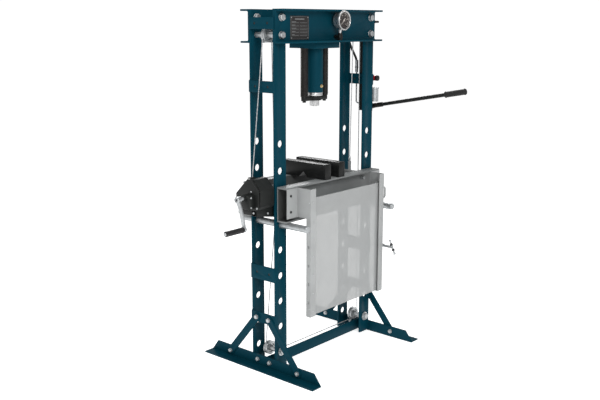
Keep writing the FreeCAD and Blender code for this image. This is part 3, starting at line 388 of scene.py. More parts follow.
BLUE = painted("blue_paint", (0.0016, 0.039, 0.060), (0.04, 0.12, 0.15), gloss=0.34, gleam=0.04)
GREY = painted("grey_paint", (0.25, 0.26, 0.26), (0.45, 0.45, 0.45), gloss=0.42, gleam=0.22)
BED = bed_paint("bed_grey_paint", (0.21, 0.22, 0.22), (0.45, 0.45, 0.45))
PALE = painted("pale_grey_paint", (0.36, 0.37, 0.37), (0.55, 0.55, 0.55), gloss=0.42, gleam=0.25)
BLACK = painted("black_paint", (0.0080, 0.0088, 0.0086), (0.05, 0.05, 0.05), gloss=0.34, gleam=0.2)
ZINC = plated("zinc_plate", (0.47, 0.49, 0.50))
STEEL = plated("ground_steel", (0.62, 0.62, 0.62), gloss=0.22, stretch=(1, 1, 12))
PLASTIC = moulded("black_plastic", (0.010, 0.010, 0.011), gloss=0.42)
RUBBER = moulded("black_rubber", (0.010, 0.010, 0.010), gloss=0.55)
RED = moulded("red_plastic", (0.30, 0.010, 0.012), gloss=0.30)
DIAL = moulded("dial_dark", (0.030, 0.022, 0.020))
MARKS = moulded("dial_marks", (0.46, 0.42, 0.39))
PLATE = moulded("plate_dark", (0.022, 0.020, 0.020), gloss=0.35)
BRASS = plated("brass_plug", (0.62, 0.44, 0.16))
WINCH = painted("winch_black", (0.010, 0.0115, 0.011), (0.05, 0.05, 0.05), gloss=0.40, gleam=0.25)
SPRING = painted("spring_black", (0.012, 0.010, 0.009), (0.06, 0.05, 0.045), gloss=0.36, gleam=0.35)
PINS = plated("pin_steel", (0.40, 0.42, 0.43), gloss=0.34, stretch=(1, 12, 1))
SHEET = smoked_sheet()
GLASS = clear_glass()
ROPE = rope_finish()


def dress(material, *names):
    """Gives a finish to CAD nodes that are shown as they are."""
    for name in names:
        node = frame["nodes"][name]
        node.data.materials.clear()
        node.data.materials.append(material)


dress(ZINC, "pulley_axles", "pulley_top_left", "pulley_low_left", "pulley_low_right", "pulley_top_right",
      "pump_cylinder", "hose_adapters")
dress(STEEL, "ram", "pump_plunger", "winch_drum")
dress(BLACK, "pump_handle")
dress(GLASS, "gauge_glass")
dress(SHEET, "guard_panel")


# ---- making shapes, in millimetres

def at(x, y, z):
    """A point or a direction."""
    return Vector((x, y, z))


def aimed(start, end):
    """The matrix that puts a shape centred on Z midway between two points, along their line."""
    turn = (end - start).to_track_quat("Z", "Y").to_matrix().to_4x4()
    return Matrix.Translation((start + end) / 2) @ turn


def soften(bm, verts, width, segments=2, angle=50):
    """Rounds the edges of a new shape where its faces meet sharply."""
    found = {edge for vert in verts for edge in vert.link_edges}
    sharp = [e for e in found if len(e.link_faces) == 2 and e.calc_face_angle(0) > math.radians(angle)]
    bmesh.ops.bevel(bm, geom=sharp, offset=width, offset_type="OFFSET", affect="EDGES",
                    segments=segments, profile=0.5, clamp_overlap=True, material=-1)


def rod(bm, start, end, radius, sides=32, edge=0.0):
    """A round or many-sided bar; edge rounds its rims."""
    made = bmesh.ops.create_cone(bm, cap_ends=True, segments=sides, radius1=radius, radius2=radius,
                                 depth=(end - start).length, matrix=aimed(start, end))["verts"]
    if edge:
        soften(bm, made, edge)


def block(bm, low, high, edge=0.0, turn=None):
    """A box between two corners, with rounded edges."""
    low, high = Vector(low), Vector(high)
    place = Matrix.Translation((low + high) / 2) @ Matrix.Diagonal((*(high - low), 1.0))
    made = bmesh.ops.create_cube(bm, size=1.0, matrix=(turn @ place) if turn else place)["verts"]
    if edge:
        soften(bm, made, edge)


def turned(bm, profile, base, axis, steps=48):
    """A solid of revolution from (radius, distance along the axis) points."""
    side = axis.orthogonal().normalized()
    verts = [bm.verts.new(base + side * r + axis * h) for r, h in profile]
    edges = [bm.edges.new(pair) for pair in zip(verts, verts[1:])]
    if profile[0][0] > 0:
        edges.append(bm.edges.new((verts[-1], verts[0])))
    bmesh.ops.spin(bm, geom=verts + edges, cent=base, axis=axis, angle=2 * math.pi, steps=steps,
                   use_merge=True, use_duplicate=False)


def pushed(bm, outline, direction, edge=0.0, segments=2, angle=20):
    """A flat outline pushed along a direction, with rounded edges."""
    verts = [bm.verts.new(point) for point in outline]
    grown = bmesh.ops.extrude_face_region(bm, geom=[bm.faces.new(verts)])["geom"]
    moved = [g for g in grown if isinstance(g, bmesh.types.BMVert)]
    bmesh.ops.translate(bm, vec=direction, verts=moved)
    if edge:
        soften(bm, verts + moved, edge, segments, angle)


def hexagon(bm, base, axis, across, height):
    """A hexagon head with a turned crown, standing on a point."""
    rod(bm, base, base + axis * height, across / math.sqrt(3), 6, across * 0.035)
    crown = across * 0.46
    turned(bm, [(0, height - 0.5), (crown, height - 0.5), (crown - 1.2, height + 0.5),
                (0, height + 0.5)], base, axis, 24)


def washer(bm, base, axis, radius, height):
    """A disc with chamfered rims."""
    turned(bm, [(0, 0), (radius - 0.5, 0), (radius, 0.5), (radius, height - 0.6), (radius - 0.7, height),
                (0, height)], base, axis, 36)


def through_bolt(bm, head, nut, radius, across, height, ring):
    """A bolt from one face to another: head and washer, shank, washer, nut and thread end."""
    axis = (nut - head).normalized()
    thick = ring * 0.16
    for place, way in ((head, -axis), (nut, axis)):
        washer(bm, place, way, ring, thick)
        hexagon(bm, place + way * thick, way, across, height)
    rod(bm, head, nut + axis * (height + thick + 4), radius, 24, 1.0)


def screw(bm, base, axis, radius):
    """A domed screw head with its socket."""
    turned(bm, [(0, 0), (radius, 0), (radius, radius * 0.25), (radius * 0.75, radius * 0.6),
                (radius * 0.45, radius * 0.7), (radius * 0.4, radius * 0.3), (0, radius * 0.3)],
           base, axis, 20)


def swept(bm, points, rings):
    """A capped skin through one ring of points per place on a path; rings gives each place its ring."""
    rows = [[bm.verts.new(p) for p in rings(i, here)] for i, here in enumerate(points)]
    count = len(rows[0])
    for a, b in zip(rows, rows[1:]):
        for j in range(count):
            k = (j + 1) % count
            bm.faces.new((a[j], a[k], b[k], b[j]))
    bm.faces.new(rows[0][::-1])
    bm.faces.new(rows[-1])


def smooth_path(points, bend, step=8):
    """A polyline with rounded corners, as closely spaced points."""
    path = [points[0]]
    for before, corner, after in zip(points, points[1:], points[2:]):
        into, out = before - corner, after - corner
        reach = min(bend, into.length * 0.48, out.length * 0.48)
        a, b = corner + into.normalized() * reach, corner + out.normalized() * reach
        for i in range(step + 1):
            t = i / step
            path.append(a * (1 - t) ** 2 + corner * 2 * t * (1 - t) + b * t ** 2)
    return path + [points[-1]]


def tube(bm, points, radius, sides=16):
    """A round bar along a path; its radius is a number, or a function of the place's number."""
    normal = (points[1] - points[0]).orthogonal().normalized()
    frames = []
    for i, here in enumerate(points):
        along = (points[min(i + 1, len(points) - 1)] - points[max(i - 1, 0)]).normalized()
        normal = (normal - along * normal.dot(along)).normalized()
        frames.append((normal.copy(), along.cross(normal)))

    def ring(i, here):
        u, v = frames[i]
        thick = radius(i) if callable(radius) else radius
        return [here + (u * math.cos(a) + v * math.sin(a)) * thick
                for a in (2 * math.pi * j / sides for j in range(sides))]
    swept(bm, points, ring)


def weld(bm, start, end, size=3.0):
    """A bead of weld between two points, with its ripples."""
    count = max(4, int((end - start).length / 1.8))
    points = [start.lerp(end, i / count) for i in range(count + 1)]
    tube(bm, points, lambda i: size * (0.82 + 0.18 * (i % 3 != 0) + random.uniform(-0.05, 0.05)), 8)


def lettering(bm, text, size, middle):
    """Plain figures standing upright and facing the front, centred on a point."""
    data = bpy.data.curves.new("figures", "FONT")
    data.body = text
    data.size = size
    data.extrude = 0.25
    data.align_x = "CENTER"
    data.align_y = "CENTER"
    maker = bpy.data.objects.new("figures", data)
    mesh = bpy.data.meshes.new_from_object(maker)
    mesh.transform(Matrix.Translation(middle) @ Matrix.Rotation(FRONT, 4, "X"))
    bm.from_mesh(mesh)
    bpy.data.objects.remove(maker)


def piece(name, bm, finish, node, replaces=True, smooth=32, ride=True):
    """Closes a shape into an object that moves with a CAD node's body and usually stands for that node."""
    bmesh.ops.remove_doubles(bm, verts=bm.verts, dist=0.02)
    bmesh.ops.recalc_face_normals(bm, faces=bm.faces)
    bmesh.ops.scale(bm, vec=(MM, MM, MM), verts=bm.verts)
    mesh = bpy.data.meshes.new(name)
    bm.to_mesh(mesh)
    bm.free()
    mesh.polygons.foreach_set("use_smooth", [True] * len(mesh.polygons))
    mesh.set_sharp_from_angle(angle=math.radians(smooth))
    made = bpy.data.objects.new(name, mesh)
    bpy.context.scene.collection.objects.link(made)
    mesh.materials.append(finish)
    if ride:
        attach(made, frame["nodes"][node]["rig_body"])
    if replaces:
        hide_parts(node)
    return made


def softened(node, finish, width):
    """A copy of a CAD piece with its flat faces joined and its sharp edges rounded."""
    bm = bmesh.new()
    bm.from_mesh(frame["nodes"][node].data)
    bmesh.ops.scale(bm, vec=(1 / MM, 1 / MM, 1 / MM), verts=bm.verts)
    bmesh.ops.remove_doubles(bm, verts=bm.verts, dist=0.02)
    bmesh.ops.dissolve_limit(bm, angle_limit=math.radians(1.0), verts=bm.verts, edges=bm.edges)
    soften(bm, bm.verts, width, angle=40)
    piece(node + "_soft", bm, finish, node)


# ---- frame

def rounded_plates():
    """The plates, channels, rails and blocks, with their edges rounded."""
    for node, width in (("upright_front_left", 1.6), ("upright_rear_left", 1.6), ("upright_front_right", 1.6),
                        ("upright_rear_right", 1.6), ("tie_plates", 1.0), ("head_channel_front", 1.8),
                        ("head_channel_rear", 1.8), ("foot_left", 1.4), ("foot_right", 1.4), ("braces", 1.2),
                        ("cross_beam", 1.2), ("cylinder_plate", 2.0), ("cylinder_body", 1.2)):
        softened(node, BLUE, width)
    for node in ("bed_channel_front", "bed_channel_rear"):
        softened(node, BED, 1.8)
    softened("bed_spacers", GREY, 1.0)
    for node in ("guard_rail_left", "guard_rail_right"):
        softened(node, PALE, 0.7)
    for node, width in (("vee_block_left", 2.2), ("vee_block_right", 2.2), ("pump_block", 1.6)):
        softened(node, BLACK, width)


def bolts():
    """The bolts of the head, the feet and the bed, with their washers and nuts."""
    bm = bmesh.new()
    spans = ((1761.5, -HEAD_FACE, -UPRIGHT_INNER_FACE), (1761.5, UPRIGHT_INNER_FACE, HEAD_FACE),
             (PULLEY_TOP_Z, -HEAD_FACE, HEAD_FACE))
    for x in (-COLUMN_X, COLUMN_X):
        for z, y0, y1 in spans:
            through_bolt(bm, at(x, y0, z), at(x, y1, z), 10, 30, 12, 18.5)
    piece("head_bolt_set", bm, ZINC, "head_bolts")
    bm = bmesh.new()
    # Height, outer face and inner face of each bolt, at the columns and at the ends of the braces.
    at_column = ((265, 402, 390), (34, 396, 384))
    at_brace_end = ((32, 402, 390),)
    rows = ((-BOLT_HOLE_Y, at_column), (BOLT_HOLE_Y, at_column),
            (-236, at_brace_end), (236, at_brace_end))
    for side in (-1, 1):
        for y, places in rows:
            for z, outer, inner in places:
                through_bolt(bm, at(side * outer, y, z), at(side * inner, y, z), 6, 19, 7, 11.5)
    piece("foot_bolt_set", bm, ZINC, "foot_bolts")
    bm = bmesh.new()
    for x in (-301, 301):
        for s in (-1, 1):
            for z in BED_BOLT_HEIGHTS:
                washer(bm, at(x, s * 92.5, z), Y * s, 12, 2)
                hexagon(bm, at(x, s * 94.5, z), Y * s, 19, 7)
    piece("bed_bolt_set", bm, ZINC, "bed_bolts")


def hole_plugs():
    """Dark caps a little inside the spare holes of the tie plates; one hole on the right stays open."""
    open_hole = (1, 1435, -BOLT_HOLE_Y)
    bm = bmesh.new()
    for side in (-1, 1):
        for z in TIE_HEIGHTS:
            for y in (-BOLT_HOLE_Y, BOLT_HOLE_Y):
                if (side, z, y) != open_hole:
                    rod(bm, at(side * TIE_FACE, y, z), at(side * 394.2, y, z), 6.4, 24, 0.5)
    piece("tie_plate_caps", bm, PLASTIC, "tie_plates", False)


def weld_beads():
    """Weld beads round the ties, at the feet, under the head, round the cylinder and in the bed's ends."""
    bm = bmesh.new()
    for side in (-1, 1):
        tie, foot = side * TIE_FACE, side * 384
        for middle, height in (*zip(TIE_HEIGHTS, (55, 56, 74)), (265, 54)):
            low, high = middle - height / 2, middle + height / 2
            for s in (-1, 1):
                for z in (low, high):
                    weld(bm, at(tie, s * 73, z), at(tie, s * 82, z), 2.6)
                weld(bm, at(tie, s * 72.2, low), at(tie, s * 72.2, high), 2.2)
        weld(bm, at(foot, -20, 8), at(foot, -20, 58), 2.6)
        weld(bm, at(foot, -14, 7), at(foot, 38, 7), 2.6)
    for s in (-1, 1):
        weld(bm, at(-94, s * 88, 1640), at(94, s * 88, 1640), 3.0)
    angles = [math.radians(i * 3) for i in range(121)]
    ring = [at(45.5 * math.cos(a), 45.5 * math.sin(a), 1609) for a in angles]
    tube(bm, ring, lambda i: 3.2 * (0.85 + 0.15 * (i % 2)), 8)
    piece("frame_welds", bm, BLUE, "cylinder_plate", False)
    bm = bmesh.new()
    for side in (-1, 1):
        for s in (-1, 1):
            for x in (295.5, 306.5):
                weld(bm, at(side * x, s * BED_WELD_Y, 792), at(side * x, s * BED_WELD_Y, 938), 2.4)
    piece("bed_welds", bm, GREY, "bed_spacers", False)


def rating_plate():
    """A blank rating plate riveted to the head: a border, rules and fields with nothing written on them."""
    x0, x1, z0, z1, y = -287, -151, 1655, 1769, -HEAD_FACE
    bm = bmesh.new()
    block(bm, (x0, y - 1.2, z0), (x1, y, z1), 0.4)
    piece("rating_plate", bm, PLATE, "head_channel_front", False)
    bm = bmesh.new()
    front = y - 1.2

    def rule(a0, a1, b0, b1):
        block(bm, (a0, front - 0.25, b0), (a1, front + 0.1, b1))
    for a0, a1, b0, b1 in ((x0 + 4, x1 - 4, z1 - 5, z1 - 4), (x0 + 4, x1 - 4, z0 + 4, z0 + 5),
                           (x0 + 4, x0 + 5, z0 + 5, z1 - 5), (x1 - 5, x1 - 4, z0 + 5, z1 - 5)):
        rule(a0, a1, b0, b1)
    for i in range(5):
        z = z0 + 20 + i * 15
        rule(x0 + 12, x0 + 62, z, z + 1.2)
        rule(x0 + 70, x1 - 12, z, z + 1.2)
        rule(x0 + 12, x0 + 30 + (i * 7) % 16, z + 4, z + 6.2)
    rule(x0 + 34, x1 - 34, z1 - 18, z1 - 14)
    piece("plate_rules", bm, GREY, "head_channel_front", False)
    bm = bmesh.new()
    for x in (x0 + 8.5, x1 - 8.5):
        for z in (z0 + 8.5, z1 - 8.5):
            turned(bm, [(0, 0), (3, 0), (2.6, 1.0), (1.4, 1.7), (0, 1.9)], at(x, front, z), -Y, 20)
    piece("plate_rivets", bm, ZINC, "head_channel_front", False)


def head_rod():
    """The black rod that stands out at the right end of the head, with its collar."""
    y, z = -84, 1740
    bm = bmesh.new()
    rod(bm, at(352, y, z), at(430, y, z), 6, 24, 1.2)
    rod(bm, at(391, y, z), at(396, y, z), 9, 24, 1.0)
    piece("head_rod", bm, PLASTIC, "head_channel_front", False)


# ---- cylinder, springs and gauge

def cylinder_details():
    """The notched gland nut, the bleed plug and the bar that the springs pull up."""
    bm = bmesh.new()
    outline = []
    for i in range(96):
        a = 2 * math.pi * i / 96
        r = 38.8 if i % 16 in (0, 1, 2) else 42.0
        outline.append(at(r * math.cos(a), r * math.sin(a), 1369.5))
    pushed(bm, outline, at(0, 0, 11), 0.6, 2, 40)
    turned(bm, [(25.3, 0), (34, 0), (35.5, 1.2), (35.5, 3), (25.3, 3)], at(0, 0, 1367.5), Z, 64)
    turned(bm, [(25.3, 0), (43, 0), (43.4, 1), (43.4, 4), (25.3, 4)], at(0, 0, 1381), Z, 64)
    piece("gland_nut", bm, STEEL, "cylinder_gland")
    bm = bmesh.new()
    lean = at(math.sin(math.radians(4)), -math.cos(math.radians(4)), 0)
    rod(bm, lean * 42, lean * 46.5, 9, 24, 0.8)
    hexagon(bm, lean * 46.5, lean, 12, 5)
    bmesh.ops.translate(bm, vec=(0, 0, 1419), verts=bm.verts)
    piece("bleed_plug", bm, BRASS, "cylinder_body", False)
    bm = bmesh.new()
    corners = ((-95, -8), (-95, 8), (-88, 13), (88, 13), (95, 8), (95, -8), (88, -13), (-88, -13))
    pushed(bm, [at(x, y, CROSSBAR_LOW) for x, y in corners], at(0, 0, CROSSBAR_TOP - CROSSBAR_LOW), 1.6)
    turned(bm, [(25.4, 0), (35.5, 0), (37, 1.5), (37, 20.5), (35.5, 22), (25.4, 22)],
           at(0, 0, CROSSBAR_LOW), Z, 64)
    for x in (-SPRING_X, SPRING_X):
        hexagon(bm, at(x, 0, CROSSBAR_LOW), -Z, 17, 8)
    piece("spring_bar", bm, BLACK, "spring_crossbar")


def springs():
    """Two close-wound springs with a dark core."""
    for side, node in ((-1, "return_spring_left"), (1, "return_spring_right")):
        bm = bmesh.new()
        x, low, turns, steps = side * SPRING_X, 1369.6, 47, 24
        pitch = (1607.4 - low) / turns
        ring = bmesh.ops.create_circle(bm, cap_ends=False, segments=9, radius=2.35,
                                       matrix=Matrix.Translation(at(x + 17.4, 0, low)) @
                                       Matrix.Rotation(math.radians(90), 4, "X"))["verts"]
        edges = list({e for v in ring for e in v.link_edges})
        bmesh.ops.spin(bm, geom=ring + edges, cent=at(x, 0, 0), axis=Z, dvec=at(0, 0, pitch / steps),
                       angle=2 * math.pi * turns, steps=turns * steps, use_merge=False, use_duplicate=False)
        for z, way in ((CROSSBAR_TOP, Z), (SPRING_TOP, -Z)):
            turned(bm, [(0, 0), (19, 0), (19.6, 0.8), (19.6, 2.2), (19, 3), (0, 3)], at(x, 0, z), way, 36)
        rod(bm, at(x, 0, 1368), at(x, 0, 1609), 14.5, 24)
        coil = piece(node + "_coil", bm, SPRING, node, ride=False)
        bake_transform(coil)


def gauge():
    """The gauge's case, dial, marks and pointer, and the fitting and oil pipe behind it."""
    centre, side = at(GAUGE_X, -157, 1747), 42
    first, sweep = 225, 270  # the scale's start and its turn, in degrees
    bm = bmesh.new()
    turned(bm, [(side, 1.0), (side + 1.2, 0), (46.2, -0.4), (47.8, 0.8), (48.3, 3), (48.3, 11.5),
                (47.2, 13.6), (45, 14), (38, 14), (38, 45), (36.6, 48.6), (33, 51), (0, 52), (0, 48),
                (30, 47), (34.6, 44), (35, 12), (side, 12)], centre, Y, 96)
    stem = at(GAUGE_X, GAUGE_STEM_Y, 0)
    rod(bm, stem + Z * 1712, stem + Z * 1684, 7, 24)
    rod(bm, stem + Z * 1705, stem + Z * 1693, 10.4, 6, 0.6)
    piece("gauge_shell", bm, STEEL, "gauge_case")
    bm = bmesh.new()
    rod(bm, centre + Y * 10, centre + Y * 12, side, 96)
    piece("gauge_face", bm, DIAL, "gauge_dial")
    bm = bmesh.new()
    for i in range(51):
        a = math.radians(first - sweep * i / 50)
        deep = 6.2 if i % 5 == 0 else 3.4
        turn = Matrix.Translation(centre + Y * 9.7) @ Matrix.Rotation(-a, 4, "Y")
        wide = 0.85 if i % 5 == 0 else 0.42
        block(bm, (39.0 - deep, -0.2, -wide), (39.0, 0.3, wide), turn=turn)
        if i % 10 == 0:
            place = centre + at(26.5 * math.cos(a), 9.7, 26.5 * math.sin(a))
            lettering(bm, str(i // 10 * 100), 7.4, place)
    for i in range(90):
        a = math.radians(first - 3 * i - 1.5)
        turn = Matrix.Translation(centre + Y * 9.7) @ Matrix.Rotation(-a, 4, "Y")
        block(bm, (39.0, -0.2, -1.05), (39.8, 0.3, 1.05), turn=turn)
    piece("gauge_marks", bm, MARKS, "gauge_dial", False)
    bm = bmesh.new()
    lean = math.radians(first)
    tip = at(math.cos(lean), 0, math.sin(lean))
    flank = at(-math.sin(lean), 0, math.cos(lean))
    base = centre + Y * 6.4
    pushed(bm, [base + tip * 35, base + tip * 4 + flank * 1.9, base - tip * 15 + flank * 3.0,
                base - tip * 15 - flank * 3.0, base + tip * 4 - flank * 1.9], Y * 1.2, 0.2)
    turned(bm, [(0, 0), (4.2, 0), (5, 0.8), (5, 4), (0, 4)], centre + Y * 4.4, Y, 32)
    piece("gauge_pointer", bm, MARKS, "gauge_needle")
    bm = bmesh.new()
    base = stem + Z * 1649
    turned(bm, [(0, 0), (13, 0), (13, 3), (11, 4), (11, 9), (13, 10), (13, 24), (11.5, 26), (11.5, 36),
                (0, 36)], base, Z, 40)
    rod(bm, base + Z * 10, base + Z * 23, 15, 6, 0.8)
    rod(bm, at(GAUGE_X, GAUGE_STEM_Y, PORT_Z), at(GAUGE_X, -12, PORT_Z), 4, 20)
    rod(bm, at(GAUGE_X, -92, PORT_Z), at(GAUGE_X, -104, PORT_Z), 9, 6, 0.6)
    piece("gauge_adapter", bm, BLACK, "gauge_fitting")


# ---- ropes

def tangent(a, ra, b, rb):
    """The taut line between two rope circles; a positive radius has its centre left of the line."""
    dx, dz = b[0] - a[0], b[1] - a[1]
    heading = math.atan2(dz, dx) - math.asin((rb - ra) / math.hypot(dx, dz))
    nx, nz = -math.sin(heading), math.cos(heading)
    return (a[0] - ra * nx, a[1] - ra * nz), (b[0] - rb * nx, b[1] - rb * nz)


def line(a, b):
    """Closely spaced places on a straight run of rope."""
    count = max(2, round(math.dist(a, b) / ROPE_STEP))
    return [(a[0] + (b[0] - a[0]) * i / count, a[1] + (b[1] - a[1]) * i / count) for i in range(count + 1)]


def arc(centre, start, end, way):
    """Closely spaced places where the rope lies on a pulley; way is 1 or -1 for the sense of the turn."""
    a0 = math.atan2(start[1] - centre[1], start[0] - centre[0])
    turn = (math.atan2(end[1] - centre[1], end[0] - centre[0]) - a0) % (2 * math.pi)
    if way < 0:
        turn -= 2 * math.pi
    count = max(4, round(abs(turn) * ROPE_TURN / ROPE_STEP))
    angles = [a0 + turn * i / count for i in range(count + 1)]
    return [(centre[0] + ROPE_TURN * math.cos(a), centre[1] + ROPE_TURN * math.sin(a)) for a in angles]


def strand(bm, places):
    """Six strands laid round each other, along a path in the plane of the pulleys."""
    kept = [places[0]] + [q for p, q in zip(places, places[1:]) if math.dist(p, q) > 0.4]
    points = [at(x, 0, z) for x, z in kept]
    run = [0.0]
    for p, q in zip(points, points[1:]):
        run.append(run[-1] + (q - p).length)

    def ring(i, here):
        along = (points[min(i + 1, len(points) - 1)] - points[max(i - 1, 0)]).normalized()
        v = along.cross(Y)
        twist = run[i] / ROPE_LAY * 2 * math.pi
        return [here + (Y * math.cos(a + twist) + v * math.sin(a + twist)) * (2.15 if j % 2 else 2.62)
                for j, a in enumerate(2 * math.pi * j / 12 for j in range(12))]
    swept(bm, points, ring)


def ropes():
    """The winch rope and the levelling rope, run by run, and the ends that hold them to the bed."""
    top_left, top_right = (-COLUMN_X, PULLEY_TOP_Z), (COLUMN_X, PULLEY_TOP_Z)
    low_left, low_right = (-COLUMN_X, PULLEY_LOW_Z), (COLUMN_X, PULLEY_LOW_Z)
    left_end, right_end = (-ROPE_END_X, ROPE_END_Z), (ROPE_END_X, ROPE_END_Z)
    under_end = (-ROPE_END_X, ROPE_END_UNDER_Z)
    rise = tangent((-468, 954.6), 0, top_left, -ROPE_TURN)
    fall = tangent(top_left, -ROPE_TURN, left_end, 0)
    down = tangent(under_end, 0, low_left, ROPE_TURN)
    across = tangent(low_left, ROPE_TURN, low_right, ROPE_TURN)
    up = tangent(low_right, ROPE_TURN, top_right, ROPE_TURN)
    last = tangent(top_right, ROPE_TURN, right_end, 0)
    level = arc(low_left, down[1], across[0], 1) + line(*across)
    level += arc(low_right, across[1], up[0], 1) + line(*up)
    level += arc(top_right, up[1], last[0], 1)
    fixed = [arc(top_left, rise[1], fall[0], -1), level]
    bm = bmesh.new()
    for places in fixed:
        strand(bm, places)
    piece("rope_on_pulleys", bm, ROPE, "pulley_ropes", smooth=80)
    for name, node, runs in (("rope_from_winch", "winch_rope", [line(*rise)]),
                             ("rope_to_bed", "bed_ropes", [line(*fall), line(*last)])):
        bm = bmesh.new()
        for places in runs:
            strand(bm, places)
        made = piece(name, bm, ROPE, node, smooth=80, ride=False)
        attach(made, "frame")
        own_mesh(made)
    bm = bmesh.new()
    strand(bm, line(*down))
    made = piece("rope_below_bed", bm, ROPE, "level_rope", smooth=80, ride=False)
    down[1][0] * MM
    down[1][1] * MM
    down[0][0] * MM
    down[0][1] * MM
    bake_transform(made)
    bm = bmesh.new()
    for x in (-ROPE_END_X, ROPE_END_X):
        turned(bm, [(0, 0), (5.4, 0), (5.8, 1), (5.8, 22), (4.8, 26), (3, 28), (0, 28)],
               at(x, 0, 988), Z, 24)
        turned(bm, [(0, 0), (9.5, 0), (9.5, 6), (8.4, 7), (0, 7)], at(x, 0, 980), Z, 6)
    turned(bm, [(0, 0), (5.4, 0), (5.8, 1), (5.8, 18), (3, 22), (0, 22)],
           at(-ROPE_END_X, 0, 777), -Z, 24)
    piece("rope_ferrules", bm, ZINC, "bed_spacers", False)


# ---- winch

def winch_outline(grow=0.0):
    """The winch's eight-sided face, made larger all round by grow."""
    y0, y1, z0, z1 = -88 - grow, 64 + grow, 852.6 - grow, 1000.6 + grow
    low_cut, rear_cut, front_cut = 18, 78, 48
    corners = ((y0, z0 + low_cut), (y0 + low_cut, z0), (y1 - low_cut, z0), (y1, z0 + low_cut),
               (y1, z1 - rear_cut), (y1 - rear_cut, z1), (y0 + front_cut, z1), (y0, z1 - front_cut))
    return [at(WINCH_FACE_X, y, z) for y, z in corners]


def winch():
    """The shell with its two carrying rails, the cover with the crank's bearing block, and the screws."""
    bm = bmesh.new()
    pushed(bm, winch_outline(), X * 106, 5.0, 4)
    open_side = [f for f in bm.faces if all(v.co.x < -500.5 for v in f.verts)]
    bmesh.ops.delete(bm, geom=open_side, context="FACES")
    for s in (-1, 1):
        y = s * 47 - 13
        pushed(bm, [at(-502, y, 854), at(-502, y, 822.6), at(-306, y, 786.6), at(-306, y, 854)], Y * 26, 1.6)
    block(bm, (-502, -60, 822.6), (-496, 60, 853.6), 1.2)
    block(bm, (-486, -10, 998), (-450, 10, 1003.5), 1.5)
    piece("winch_shell", bm, WINCH, "winch_housing")
    bm = bmesh.new()
    pushed(bm, winch_outline(1.5), X * -5, 2.0, 3)
    block(bm, (BEARING_FACE_X, -62, 862), (-510, -8, 929.4), 4.0)
    turned(bm, [(8.3, 0), (15, 0), (15.8, 0.8), (15.8, 6), (8.3, 6)],
           at(BEARING_FACE_X, CRANK_TOP[1], CRANK_TOP[2]), -X, 40)
    piece("winch_face", bm, WINCH, "winch_cover")
    bm = bmesh.new()
    for y, z in ((-38, 942), (50, 880), (-76, 866)):
        screw(bm, at(-511, y, z), -X, 5)
    for x, z in ((-536, 919), (-536, 871)):
        screw(bm, at(x, -62, z), -Y, 4.5)
    for y in (-47, 47):
        hexagon(bm, at(-502, y, 838), -X, 10, 4)
    for x in (-421, -330):
        hexagon(bm, at(x, -60, 826), -Y, 11, 5)
    piece("winch_screws", bm, ZINC, "winch_cover", False)


def crank():
    """The bent arm with its hub, shaft and pin, and the ribbed grip that turns on the pin."""
    top, low = at(*CRANK_TOP), at(*CRANK_END)
    spots = [top, at(-600, -50, 877), at(-600, -62, 830), at(-600, -74, 778)]
    path = smooth_path(spots, 22, 6)
    half = 11  # half of the arm's width

    def flank(points):
        """One long edge of the arm and the round end that follows it."""
        made = []
        for i, here in enumerate(points):
            along = (points[min(i + 1, len(points) - 1)] - points[max(i - 1, 0)]).normalized()
            made.append(here + X.cross(along) * half)
        heading = (points[-1] - points[-2]).normalized()
        for j in range(1, 12):
            a = math.pi * j / 12
            made.append(points[-1] + (X.cross(heading) * math.cos(a) + heading * math.sin(a)) * half)
        return made
    bm = bmesh.new()
    pushed(bm, flank(path) + flank(path[::-1]), X * 8, 1.2)
    turned(bm, [(8, 24), (13, 24), (14, 23), (14, 10), (15.5, 8), (15.5, -1), (14.5, -2.5), (9, -2.5), (9, 2),
                (0, 2), (0, 4), (8, 4)], top, X, 40)
    rod(bm, top + X * 10, top + X * 144, 8, 32, 0.8)
    rod(bm, top + X * 101, top + X * 115, 11.8, 32, 0.6)
    turned(bm, [(0, 10), (12, 10), (13, 9), (13, -1), (12, -2), (5, -2), (5, -122), (4, -124), (0, -124)],
           low, X, 32)
    piece("crank_arm", bm, ZINC, "winch_crank")
    bm = bmesh.new()
    rod(bm, top + X * 1.9, top + X * -0.8, 5.2, 6)
    piece("crank_socket", bm, PLASTIC, "winch_crank", False)
    bm = bmesh.new()
    profile = [(5.2, 0), (12.5, 0), (14, 1.5), (14, 5)]
    for i in range(11):
        h = 9 + i * 9
        profile += [(13.4, h), (12.7, h + 1.2), (12.7, h + 3.4), (13.4, h + 4.6)]
    profile += [(14, 111), (13.4, 114), (11, 116), (5.2, 116)]
    turned(bm, profile, low + X * -5, -X, 40)
    piece("crank_handgrip", bm, PLASTIC, "crank_grip")
    bm = bmesh.new()
    turned(bm, [(0, 0), (9.5, 0), (9.5, 2), (8, 3.4), (0, 4.4)], low + X * -121, -X, 32)
    piece("crank_cap", bm, ZINC, "winch_crank", False)


# ---- guard and pins

